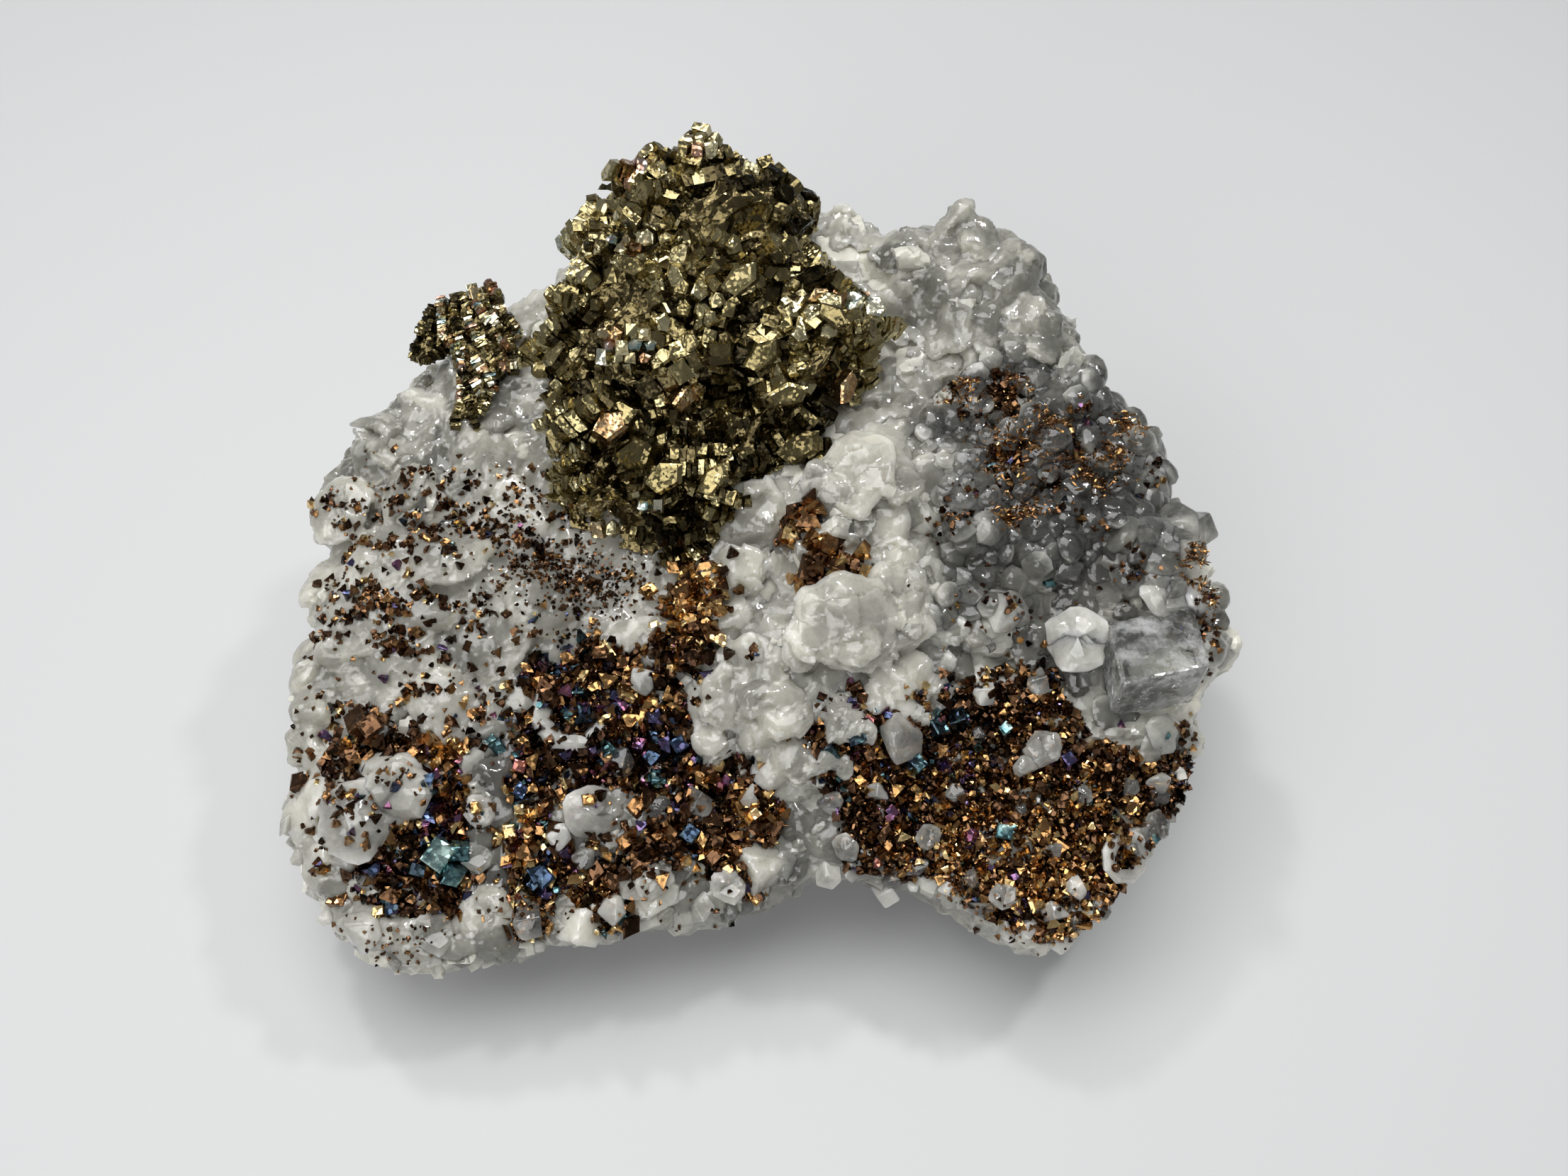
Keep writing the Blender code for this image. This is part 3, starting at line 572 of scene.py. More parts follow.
BRASS_STEPS = [
    (0.0, "#2A251A"), (0.12, "#5C5238"), (0.32, "#8A7E58"), (0.55, "#ADA27A"), (0.72, "#CCC39E"), (0.82, "#A07C54"),
    (0.88, "#BE9886"), (0.93, "#7C9EA6"), (1.0, "#E2DCC2"),
]
brassy_ore = ore_material("brassy_ore", BRASS_STEPS, 0.2, 2600.0, 0.32)


def plate_form(rng, sides, wear):
    bm = bmesh.new()
    bmesh.ops.create_cone(bm, cap_ends=True, segments=sides, radius1=0.5, radius2=0.5, depth=1.0)
    if sides == 4:
        bmesh.ops.rotate(bm, matrix=Matrix.Rotation(math.pi / 4, 3, "Z"), verts=bm.verts)
        bmesh.ops.scale(bm, vec=(1.3, 1.3, 1), verts=bm.verts)
    for v in bm.verts:
        v.co.x *= rng.uniform(0.8, 1.16)
        v.co.y *= rng.uniform(0.8, 1.16)
        v.co.z *= rng.uniform(0.8, 1.2)
    worn(bm, [e for e in bm.edges if abs(e.verts[0].co.z - e.verts[1].co.z) < 0.1], wear, 1)
    return form(bm)


def limited(tint):
    return min(1, max(0, tint))


def loaf(rng, seat, normal, row, length, width, height, slice_width, tint):
    """A row of plates that stand on edge, like the slices of a loaf."""
    across = normal.cross(row).normalized()
    upright = Matrix((across, normal, row)).transposed().to_4x4()
    slices = []
    bend = rng.uniform(-0.012, 0.012)
    count = max(3, round(length / slice_width))
    for k in range(count):
        along = (k - (count - 1) / 2) * slice_width
        shrink = 1 - 0.25 * (2 * along / length) ** 2
        place = seat + row * along + across * bend * along * along + normal * rng.uniform(-0.15, 0.15)
        wobble = Matrix.Rotation(rng.gauss(0, 0.1), 4, "Z")
        wobble = wobble @ Matrix.Rotation(rng.gauss(0, 0.09) + bend * along * 2, 4, "Y")
        size = (
            width * shrink * rng.uniform(0.85, 1.1), height * shrink * rng.uniform(0.88, 1.08),
            slice_width * rng.uniform(0.85, 1.1),
        )
        matrix = Matrix.Translation(place) @ upright @ wobble @ sized(size)
        slices.append((rng.choice(plates), matrix, limited(tint + rng.gauss(0, 0.13))))
    return slices


def tiles(rng, seat, normal, row, columns, rows, width, tint):
    """A patch of plates that lie side by side and face out, each a step above the next."""
    across = normal.cross(row).normalized()
    upright = Matrix((row, across, normal)).transposed().to_4x4()
    patch = []
    for i in range(columns):
        for j in range(rows):
            u = (i - (columns - 1) / 2 + (j % 2) * 0.4) * width * 0.86
            v = (j - (rows - 1) / 2) * width * 0.8
            place = seat + row * u + across * v + normal * (rng.uniform(-0.5, 0.4) - 0.012 * (u * u + v * v))
            lean = Matrix.Rotation(rng.gauss(0, 0.2), 4, "X") @ Matrix.Rotation(rng.gauss(0, 0.2), 4, "Y")
            size = (width * rng.uniform(0.8, 1.1), width * rng.uniform(0.8, 1.1), rng.uniform(1.4, 2.6))
            turn = Matrix.Rotation(rng.gauss(0, 0.15), 4, "Z")
            matrix = Matrix.Translation(place) @ upright @ lean @ turn @ sized(size)
            patch.append((rng.choice(plates), matrix, limited(tint + rng.gauss(0, 0.14))))
    return patch


def crystal_piece(name, crystals, material, crisp=None):
    """One piece made of many crystals, which rides on the specimen."""
    points, faces, tints = set_crystals(crystals)
    mesh = bpy.data.meshes.new(name)
    mesh.from_pydata(points * MM, [], faces)
    mesh.attributes.new("tint", "FLOAT", "POINT").data.foreach_set("value", tints.astype(np.float32))
    return finished(name, mesh, material, crisp)


def ore_core_in_painted_shade(name, bm, facet_width, facet_slope, material, tint=0.12):
    """The rough heart of the ore, which shows in the gaps between its crystals, tinted dark as painted shade for
    those gaps.
    """
    cut_facets(bm, facet_width, facet_slope)
    skin_piece(name, bm, material, lambda place, normal: tint)


def cell(place, width, seed):
    """The random vector of the lump, one width across, that a place lies in, and how far off its heart is."""
    heart = noise.voronoi(place / width)[1][0]
    return noise.cell_vector(heart * seed), (place / width - heart).length * width


def swung(way, normal, angle=0.0):
    """A direction laid flat on a normal and turned about it."""
    return Matrix.Rotation(angle, 3, normal) @ (way - normal * way.dot(normal)).normalized()


RIGHT, UP = Vector((1, 0, 0)), Vector((0, 0, 1))
MOUND_MIDDLE, CROWN_Z = -9, 56
PLATES = ((4, 0.1), (4, 0.16), (5, 0.12), (6, 0.12), (5, 0.18))
plates = [plate_form(shape_rng, sides, wear) for sides, wear in PLATES]
mound_core = smoothed(grown_together(solid("brassy_mound"), 1.0), 2)
# The smoothing draws the crown in, so it is widened back to the outline of the solid.
for v in mound_core.verts:
    widened = 1 + 0.4 * max(0, min(1, (v.co.z - CROWN_Z) / 10))
    v.co.x = MOUND_MIDDLE + (v.co.x - MOUND_MIDDLE) * widened
mound_seats = seats_of(mound_core)
mound_skin = BVHTree.FromBMesh(mound_core)
mound_rng = random.Random(5)


def on_mound(x, y, inner_x, inner_y):
    """The seat at a place on the mound, or at one further in where the first lies beside it."""
    return on_top(x, y, mound_skin) or on_top(inner_x, inner_y, mound_skin)


BRASS_WEDGES = [
    # plan place and height on the mound, length: broad smooth crystals among the plates
    (-16.8, 4.2, 7), (-13.3, 0.9, 6), (2.7, 10.2, 6), (-11.9, 10.8, 6), (-7.3, 0.4, 6), (-0.4, 14, 6),
    (-20.1, 9.2, 6), (11.1, 12.6, 5), (8.9, 17.3, 5), (-3.4, 21.7, 6), (-17.5, 22.9, 5), (4.3, 7.1, 7),
    (-21.3, 7.4, 6),
]
brass = []
for x, y, length in BRASS_WEDGES:
    seat, up = on_mound(x, y, x * 0.9, y * 0.9 + 1.5)
    sizes = (length, length * mound_rng.uniform(0.5, 0.7), length * 0.45)
    matrix = stand(seat + up * 0.6, up, sizes, *drawn(mound_rng, (-0.6, 0.9), (0.1, 0.5), (0, 6)))
    brass.append((plates[2], matrix, mound_rng.choice((0.2, 0.3, 0.4, 0.8))))

BARE_OF_PLATES = [(-22.2, 5.1, 2.2, 2.6), (-19.5, -0.2, 1.6, 1.2)]
LEFT_LOBE = [(-17, 17, 11, 9)]
APRON_Y = 8
LOBE, LUMP = 10.0, 5.6
LUMP_SHIFT = Vector((3, 1, 7))
for place, normal in spread_out(mound_rng, mound_seats, 2.3, lambda place, normal: normal.z > -0.5):
    if in_ovals(place.x, place.y, BARE_OF_PLATES):
        continue
    lot, from_lobe = cell(place, LOBE, 9.1)
    nudge, from_lump = cell(place + LUMP_SHIFT, LUMP, 6.7)
    level = UP.cross(normal)
    level = level.normalized() if level.length > 0.2 else RIGHT
    down = level.cross(normal).normalized()
    apron = place.y < APRON_Y
    depth = 0.085 * from_lobe * from_lobe + 0.15 * from_lump * from_lump
    crown = max(0, min(1, (place.z - 54) / 12))
    seat = place + normal * (1.8 - 1.1 * crown - depth)
    # Painted light and shade: plates off the front apron are painted 0.07 paler for the light on the upper mound, and
    # plates sunk deep in the gaps between lumps are painted darker as shade.
    tint = (0.5 if apron else 0.57) + 0.35 * (lot.y - 0.5) + 0.3 * (nudge.x - 0.5) - 0.08 * depth
    tint += 0.33 if mound_rng.random() < 0.07 else 0
    grain = 0.95 + 0.8 * nudge.y
    aside = Vector([0.8 * (nudge.z - 0.5) + 0.5 * (lot.z - 0.5), 0.8 * (nudge.x - 0.5) - 0.25, 0.3])
    tipped = (normal + aside).normalized()
    if apron and nudge.x < 0.9:
        row = swung(RIGHT, normal, 0.7 * (lot.y - 0.5) + mound_rng.gauss(0, 0.1))
        sizes = drawn(mound_rng, (4, 7), (1.8, 2.6), (2.4, 3.2), (0.8, 1.2))
        brass += loaf(mound_rng, seat, normal, row, *sizes, tint)
    elif in_ovals(place.x, place.y, LEFT_LOBE) or lot.z < 0.4:
        row = swung(level, tipped, lot.x * 3 + mound_rng.gauss(0, 0.1))
        counts = (mound_rng.choice((1, 2, 2)), mound_rng.choice((1, 2)))
        brass += tiles(mound_rng, seat, tipped, row, *counts, 2.0 * grain, tint)
    else:
        row = swung(down, tipped, (lot.y - 0.5) * 1.6 + mound_rng.gauss(0, 0.1))
        sizes = [size * grain for size in drawn(mound_rng, (4, 6.5), (1.8, 2.6), (2.5, 3.4), (0.7, 1.05))]
        brass += loaf(mound_rng, seat, tipped, row, *sizes, tint)

# Bars at its left edge, a row of teeth at its foot, and patches of tiles, pale or with a blue film.
MOUND_BARS = [(-28.0, 11.3), (-26.6, 7.3), (-26.5, 4.4), (-25.8, 1.4)]
for x, y in MOUND_BARS:
    seat, up = on_mound(x, y, x * 0.9, y * 0.9 + 1.0)
    row = (Vector((1, 0.1, 0)) - up * up.x).normalized()
    brass += loaf(mound_rng, seat + up * 1.2, up, row, mound_rng.uniform(6, 8.5), 2.2, 2.8, 0.62, 0.52)
MOUND_TEETH = [
    (-28.5, 1.6), (-26.6, 0.6), (-24.6, -0.2), (-22.6, -0.8), (-20.4, -1.2), (-18.2, -1.4), (-16.0, -1.2),
    (-13.8, -0.8),
]
for x, y in MOUND_TEETH:
    seat, up = on_mound(x, y, x * 0.93, y + 1.8)
    forward = (up + Vector((0, -0.9, 0.1))).normalized()
    sizes = drawn(mound_rng, (1.6, 2.1), (0.9, 1.3), (2.4, 3.4))
    tooth = stand(seat + forward * 1.1, forward, sizes, mound_rng.gauss(0, 0.3), 0.1, 0)
    brass.append((plates[1], tooth, mound_rng.uniform(0.5, 0.75)))
MOUND_PATCHES = [
    (-19.3, 15.3, 4, 3, 2.0, 0.74), (-21.5, -3.4, 2, 1, 2.3, 0.93), (-15.5, -2.8, 2, 1, 2.0, 0.93),
    (-9.4, 36.1, 3, 2, 2.0, 0.7),
]
for x, y, columns, rows, width, tint in MOUND_PATCHES:
    seat, up = on_mound(x, y, x, y + 2.5)
    brass += tiles(mound_rng, seat + up * 1.5, up, swung(RIGHT, up), columns, rows, width, tint)
mound = crystal_piece("brassy_mound_plates", brass, brassy_ore)
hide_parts("brassy_mound")
for v in mound_core.verts:
    v.co -= v.normal * 1.5
ore_core_in_painted_shade("brassy_mound_core", mound_core, 2.2, 0.6, brassy_ore)


# The small spray left of the mound: the same brassy ore, in finer slices that lie more nearly parallel,
# with some under a pink film.
spray_core = smoothed(grown_together(solid("brassy_spray"), 0.8), 1)
spray_seats = seats_of(spray_core)
spray = []
for place, normal in spread_out(mound_rng, spray_seats, 1.9, lambda place, normal: normal.z > -0.2):
    heading = 2.2 + place.x * 0.08
    row = swung(Vector((math.cos(heading), math.sin(heading), 0)), normal)
    sizes = drawn(mound_rng, (2.5, 4.5), (1.2, 1.9), (1.5, 2.2), (0.45, 0.65))
    tint = mound_rng.choice((mound_rng.gauss(0.24, 0.1), mound_rng.gauss(0.14, 0.08), 0.84))
    spray += loaf(mound_rng, place, normal, row, *sizes, tint)
side_spray = crystal_piece("brassy_spray_plates", spray, brassy_ore)
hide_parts("brassy_spray")
for v in spray_core.verts:
    v.co -= v.normal * 0.7
ore_core_in_painted_shade("brassy_spray_core", spray_core, 1.6, 0.5, brassy_ore)


# The crusts: thousands of sharp crystals of one to two millimetres, four-sided wedges and thin kites that
# grew tumbled together on a bed that is painted dark as shade in the gaps. They are the same sulphide under a
# thin film of oxides: brown to copper and gold, and violet, blue or teal where the film is thicker. Each small
# face takes one colour of it.
TARNISH_STEPS = [
    (0.0, "#1A130F"), (0.12, "#38271C"), (0.24, "#664B36"), (0.36, "#967048"), (0.46, "#BC945E"), (0.56, "#E2C890"),
    (0.63, "#B47458"), (0.7, "#8C5A72"), (0.77, "#5A5072"), (0.84, "#3C4C64"), (0.9, "#2E373C"), (0.95, "#5A7E82"),
    (1.0, "#B4CEC6"),
]
tarnished_ore = ore_material("tarnished_ore", TARNISH_STEPS, 0.22, 1800.0, 0.5)


def wedge_form(rng, cut):
    bm = bmesh.new()
    bmesh.ops.create_cube(bm, size=1.0)
    apexes = [Vector(c) for c in ((1, 1, 1), (1, -1, -1), (-1, 1, -1), (-1, -1, 1))]
    bmesh.ops.delete(bm, geom=bm.verts, context="VERTS")
    for apex in apexes:
        for other in apexes:
            if other is not apex:
                share = cut * rng.uniform(0.6, 1.5)
                bm.verts.new(apex.lerp(other, share) * 0.36)
    bmesh.ops.convex_hull(bm, input=bm.verts)
    return form(bm)


def kite_form(rng, sides, thickness, taper):
    bm = bmesh.new()
    bmesh.ops.create_cone(bm, cap_ends=True, segments=sides, radius1=0.58, radius2=0.58 * taper, depth=thickness)
    stretch = rng.uniform(0.65, 0.9)
    for v in bm.verts:
        v.co.x *= rng.uniform(0.9, 1.2) * stretch
        v.co.y *= rng.uniform(0.9, 1.1)
    return form(bm)


wedges = [wedge_form(shape_rng, cut) for cut in (0.08, 0.12, 0.16, 0.22, 0.3, 0.34)]
kites = [
    kite_form(shape_rng, sides, thickness, taper)
    for sides, thickness, taper in ((3, 0.22, 0.7), (4, 0.2, 0.85), (4, 0.3, 0.6), (3, 0.45, 0.5), (4, 0.5, 0.75))
]

# Film colours by place: (x, y, radius, share of blue and violet), and the golden places.
BLUE_CLUSTERS = [
    (-43, -43, 8, 0.7), (-26, -24, 7, 0.6), (-30, -33, 7, 0.35), (-13, -29, 7, 0.6), (6, -33, 9, 0.4),
    (-29, -45, 5, 0.5), (-24, -37, 4, 0.35), (20, -31, 9, 0.3),
]
GOLDEN_PLACES = [
    (40, -48, 12, 0.9), (24, -44, 10, 0.6), (-10, -12, 6, 0.9), (8, -8, 6, 0.6), (-33, -40, 4, 0.9),
    (-41, -30, 3.5, 0.8), (-2, -40, 6, 0.5), (-18, -24, 4, 0.5), (-28, -50, 10, 0.5),
]


def film_tint(rng, x, y):
    blue, gold = fading(x, y, BLUE_CLUSTERS), fading(x, y, GOLDEN_PLACES)
    luck = rng.random()
    if luck < 0.03 + 0.42 * blue:
        return rng.choice((rng.uniform(0.66, 0.8), rng.uniform(0.72, 0.84), rng.uniform(0.84, 0.96)))
    if luck < 0.1 + 0.46 * blue + 0.35 * gold:
        return rng.uniform(0.38, 0.58)
    return max(0.03, rng.gauss(0.2 + 0.12 * gold, 0.1))


def tumbled(rng, place, size):
    """Sizes a form and sets it at a place in any attitude."""
    axis = any_way(rng)
    return Matrix.Translation(place) @ Matrix.Rotation(rng.uniform(0, math.tau), 4, axis) @ sized(size)


# Each layer: its spacing, its smallest and largest crystal, and how far it is lifted off the hill.
FINE_LAYERS = ((0.7, 0.7, 1.5, 0.3), (1.3, 1.1, 2.2, 0.75))
COARSE_LAYERS = ((0.8, 0.9, 1.9, 0.3), (1.7, 1.7, 3.2, 0.9))
crust_rng = random.Random(8)
for node in CRUST_NODES:
    low, high = (Vector(corner) * 1000 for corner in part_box(node))
    grains = []
    for spacing, smallest, largest, lift in COARSE_LAYERS if node in CRUST_NODES[:2] else FINE_LAYERS:
        for x, y in plan_field(crust_rng, spacing, low, high):
            top = on_top(x, y, crust_skins[node])
            if not top:
                continue
            ground = on_top(x, y) or top
            lump = noise.noise(Vector((x, y, 0)) * 0.3)
            size = smallest + (largest - smallest) * crust_rng.random() ** 1.6
            height = ground[0].z + 0.35 * (top[0].z - ground[0].z) + lift + 1.1 * lump
            stretch = (size * crust_rng.uniform(0.7, 1.1), size * crust_rng.uniform(0.7, 1.1), size)
            shape = crust_rng.choice(wedges[:4] + kites + kites)
            matrix = tumbled(crust_rng, Vector((x, y, height)), stretch)
            grains.append((shape, matrix, film_tint(crust_rng, x, y)))
    piece = crystal_piece(node + "_crystals", grains, tarnished_ore)
    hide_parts(node)
    bed = smoothed(grown_together(solid(node), 0.8), 2)
    for v in bed.verts:
        ground = on_top(v.co.x, v.co.y)
        if ground:
            v.co.z = ground[0].z + 0.3 * (v.co.z - ground[0].z) - 0.3
    bed.normal_update()
    # Its tint of 0.1 paints the bed darkest, as painted shade in the gaps between the crystals.
    ore_core_in_painted_shade(node + "_bed", bed, 1.6, 0.5, tarnished_ore, tint=0.1)


# Large crystals of the tarnished ore, two to four millimetres, blocky and flat-faced, that grew on the crusts
# and on the calcite: steel grey to deep blue and teal in the clusters, copper and gold elsewhere.
LARGE_GRAINS = [
    # plan place, width, tint
    (-41.9, -43.6, 4, 0.97), (-40.2, -45.5, 3.1, 0.95), (-43.3, -42.5, 2.7, 0.86), (-39.2, -43.2, 2.6, 0.95),
    (-51.1, -28.8, 3.4, 0.2), (-53.9, -30, 2.4, 0.52), (-52.5, -28.2, 3.4, 0.24), (-29.7, -24.1, 2.8, 0.9),
    (-24.5, -26.2, 2.6, 0.86), (-24.8, -23.3, 2.2, 0.92), (-25.8, -21.5, 2.3, 0.76), (-12.3, -27.2, 2.8, 0.86),
    (-14.5, -28.5, 2.4, 0.85), (-11.6, -29.4, 2.4, 0.84), (-35.2, -30.5, 2.4, 0.94), (-32.2, -32.8, 1.8, 0.67),
    (-25.3, -37.7, 2, 0.7), (-28.8, -45.8, 2.8, 0.86), (-29.9, -45.5, 2.3, 0.84), (-31.9, -47.8, 1.7, 0.62),
    (-33.3, -40.4, 2.2, 0.54), (-41.6, -30.1, 2.2, 0.54), (-45.9, -40.1, 1.8, 0.56), (-58.4, -39.8, 3.6, 0.24),
    (-60.9, -33.5, 3, 0.2), (-53.8, -36.8, 2.4, 0.3), (-54.9, -47.9, 2.8, 0.28), (-48.9, -49.4, 1.6, 0.56),
    (-20, -45.5, 2.3, 0.2), (-32.1, -35.9, 2, 0.86), (-14.4, -33.4, 2.3, 0.94), (-10.1, -40.1, 2.3, 0.92),
    (30.7, -28.4, 2.2, 0.99), (30.3, -40.8, 2.2, 0.97), (38.6, -32.3, 2, 0.78), (26.1, -41.1, 2.6, 0.74),
    (46.2, -28.1, 1.5, 0.7), (15.8, -38, 1.6, 0.7), (21.9, -28.3, 2.8, 0.9), (24.8, -27.1, 2.6, 0.9),
    (11.3, -29.6, 2.6, 0.9), (7.9, -31.4, 2.6, 0.9), (19, -32.7, 2.3, 0.9), (36.9, -22, 2.1, 0.84),
    (37.7, -9.6, 1.4, 0.95), (33.4, -21.7, 2.1, 0.6), (-36.8, -1.7, 1.4, 0.86), (-43, -8.4, 1.6, 0.94),
    (-46.7, -6.1, 1.6, 0.86), (-42.7, -18.2, 2.1, 0.76), (8.2, -10.6, 2.6, 0.5), (7, -9.8, 2.2, 0.4),
    (9.6, -10.4, 2.4, 0.55), (6.2, -11.2, 2, 0.62), (4.5, -4.2, 2.4, 0.3), (3.4, -5, 1.8, 0.5),
    (5.4, -3.4, 2.2, 0.25), (-10.8, -7, 2, 0.6), (-10.2, -8, 1.8, 0.3), (-6.9, -8.7, 2.2, 0.6),
    (-1.5, -21.4, 1.8, 0.58), (11.3, -24.1, 2, 0.2), (0.1, -23.5, 1.6, 0.2), (10.6, -23.2, 1.6, 0.7),
]
large_rng = random.Random(31)
cubes = [plate_form(shape_rng, 4, 0.05), plate_form(shape_rng, 4, 0.09), wedges[4]]
large = []
for x, y, width, tint in LARGE_GRAINS:
    seat, up = on_top(x, y)
    lift = 1.6 if on_crust(x, y) else 0.5
    for k in range(1 if width > 2.5 else 2):
        aside = Vector((large_rng.gauss(0, 0.3), large_rng.gauss(0, 0.3), 0)) * width * k
        size = width * (1 - 0.3 * k)
        sizes = (size, size * large_rng.uniform(0.7, 1.0), size * large_rng.uniform(0.45, 0.8))
        matrix = stand(seat + aside + up * lift, up, sizes, *drawn(large_rng, (0, 6), (0.1, 0.7), (0, 6)))
        large.append((large_rng.choice(cubes), matrix, limited(tint + large_rng.gauss(0, 0.015))))
crystal_piece("large_grains", large, tarnished_ore)


# The knoll and the back ridge: rounded nail-heads of three to eight millimetres that overlap like scales,
# with dark gaps between them. Those of the knoll are the clearest calcite, glassy with a little cloud.
CLEAR_STEPS = [(0.07, "#F6F5EE"), (0.28, "#ECEAE2"), (0.46, "#DAD9D1"), (0.66, "#BDBCB6"), (0.85, "#9A9993")]
cloudy_calcite = calcite_material("cloudy_calcite", CLEAR_STEPS, clear_to=0.92, soak=0.001, roughness=0.1)


def bead_form(rng, height):
    bm = bmesh.new()
    bmesh.ops.create_uvsphere(bm, u_segments=10, v_segments=6, radius=0.5)
    phase = rng.uniform(0, 6)
    for v in bm.verts:
        angle = math.atan2(v.co.y, v.co.x)
        edge = 1 + 0.05 * math.cos(6 * angle) + 0.06 * math.sin(2 * angle + phase)
        v.co.x *= edge
        v.co.y *= edge
        v.co.z *= height * (1 + 0.2 * math.sin(angle * 3 + phase) * math.hypot(v.co.x, v.co.y))
    return form(bm, painted_rim_highlight)


beads = [bead_form(shape_rng, height) for height in (0.6, 0.7, 0.8)] + [rhomb_form(0.45, 0.09, 2)]
bead_rng = random.Random(17)
knoll_beads, ridge_shells = [], []
# Each ground: plan place, half width, half depth, spacing, smallest and largest width.
RIDGE = (31, 33, 15, 14, 3.2, 4.6, 8.0)
BEAD_GROUND = [
    (38, 6, 18, 15, 2.2, 2.6, 5.4), RIDGE, (52, 4, 8, 14, 3.4, 4.0, 7.5), (55, -14, 9, 9, 3.2, 3.4, 6.0),
    (26, -10, 7, 7, 3.0, 3.4, 5.6),
]
BARE_OF_BEADS = [(51, -20, 7, 8), (12, 3, 10, 10)]
# Hollows filled with a silky mat of rusty grains: plan place, half width, half depth.
RUST = [
    (32.5, 5.0, 3.6, 2.6), (33.3, -2.9, 3.0, 1.7), (43.4, 2.2, 3.2, 2.0), (33.1, 13.5, 2.0, 2.8),
    (26.1, 14.4, 2.2, 2.0), (48.9, 9.7, 2.0, 2.4), (46.8, 5.0, 2.0, 1.6), (56.1, -9.3, 2.2, 1.5),
    (59.0, -12.5, 1.4, 2.0), (38.0, 8.5, 2.4, 1.5),
]
for ground in BEAD_GROUND:
    x0, y0, half_width, half_depth, spacing, smallest, largest = ground
    for x, y in plan_field(bead_rng, spacing, (x0 - half_width, y0 - half_depth), (x0 + half_width, y0 + half_depth)):
        top = on_top(x, y)
        if not top or not in_ovals(x, y, [ground[:4]]) or in_ovals(x, y, BARE_OF_BEADS + RUST):
            continue
        width = smallest + (largest - smallest) * bead_rng.random() ** 1.5
        way = bead_rng.uniform(0, math.tau)
        lift = 0.1 * width + bead_rng.uniform(-0.4, 1.3)
        matrix = stand(top[0] + top[1] * lift, top[1], width, way * 3, bead_rng.uniform(0, 0.6), way)
        shape = bead_rng.choice(nail_heads + petals[3:5] if ground is RIDGE else beads)
        shells = ridge_shells if ground is RIDGE else knoll_beads
        shells.append((shape, matrix, clearness(top[0]) * 0.5 + bead_rng.uniform(0.0, 0.2)))
ridge_piece = grown_piece("ridge_crystals", ridge_shells, 0.5, 3.2, 0.3)
bead_piece = crystal_piece("knoll_beads", knoll_beads, cloudy_calcite, crisp=34)


# Clear-grey blocks and lenses of calcite under the knoll, among the crusts and along the broken front edge,
# two rings, which are crystals whose middle is covered by ore, and chips that stud the broken front wall.
BLOCKS = [
    # plan place, width, lean in degrees
    (41, -18, 9, 12), (30, -15, 8, 8), (57, -11, 8, 30), (52.5, -11, 8, 25), (27, -11, 6, 15), (-46.7, -36.4, 9, 8),
    (-51.9, -39.9, 11, 10), (-51.4, -51.4, 8, 20), (-15.6, -46.3, 7.5, 25), (-23, -37.9, 8.2, 20),
    (-27.3, -40.8, 4.5, 10), (-19.6, -31.3, 5.5, 20), (-8.9, -35.9, 5.2, 15), (-10.6, -43.2, 4.6, 20),
    (-24, -43.2, 4.2, 20), (-37.2, -38.4, 4.6, 5), (-37.3, -43.6, 4.6, 10), (28.6, -23.5, 4.7, 10),
    (35.7, -22.4, 4.6, 10), (32.6, -33, 5, 15), (32.2, -38.6, 3, 10), (40.1, -36.4, 3, 5), (46, -35.1, 3.8, 10),
    (49.6, -38.8, 4, 15), (49.9, -34.3, 4, 15), (50.8, -28.5, 7.6, 15), (41.7, -21.8, 5, 10), (27.5, -29, 3.4, 5),
    (35.6, -31, 5.5, 10), (31.8, -13.9, 6.2, 10), (30.5, -12.7, 3.4, 5), (40.9, -16.1, 9, 15), (54.9, -3, 10, 15),
    (56.1, -12.2, 7, 20), (20.6, -41, 3.7, 5), (40.9, -50.5, 4.6, 20), (44.5, -52, 4.6, 30), (25.9, -46.2, 3.6, 15),
    (57.9, -19.4, 4, 25), (56.2, -30.7, 4.2, 25), (16.7, -30, 8.5, 20), (6.3, -15, 7, 25), (-16.3, -21.8, 5, 5),
    (54, -38, 4, 30), (50, -44, 4, 30), (36, -50, 4, 20), (30, -48, 4, 20), (10, -42, 4, 20), (2, -44, 5, 20),
    (-5, -46, 5, 20), (-30, -50, 6, 20), (-42, -52, 6, 25), (-20, -49, 5, 25), (-2, -36, 4, 10), (14, -36, 3.4, 10),
    (8, -37, 4, 10), (-33, -27, 4, 10), (-14, -37, 4, 10), (36, -43, 3, 5), (24, -36, 3.4, 5),
]
RINGS = [(45.2, -42.9, 7.5, 9, 1.6), (-25.7, -25.9, 12.0, 7, 0.6)]


def ring_form(steps):
    bm = bmesh.new()
    profile = Matrix.Translation((0.37, 0, 0)) @ Matrix.Rotation(math.pi / 2, 4, "X")
    bmesh.ops.create_circle(bm, segments=8, radius=0.13, matrix=profile)
    rim = bm.verts[:] + bm.edges[:]
    bmesh.ops.spin(bm, geom=rim, cent=(0, 0, 0), axis=(0, 0, 1), angle=math.tau, steps=steps, use_merge=True)
    return form(bm, painted_rim_highlight)


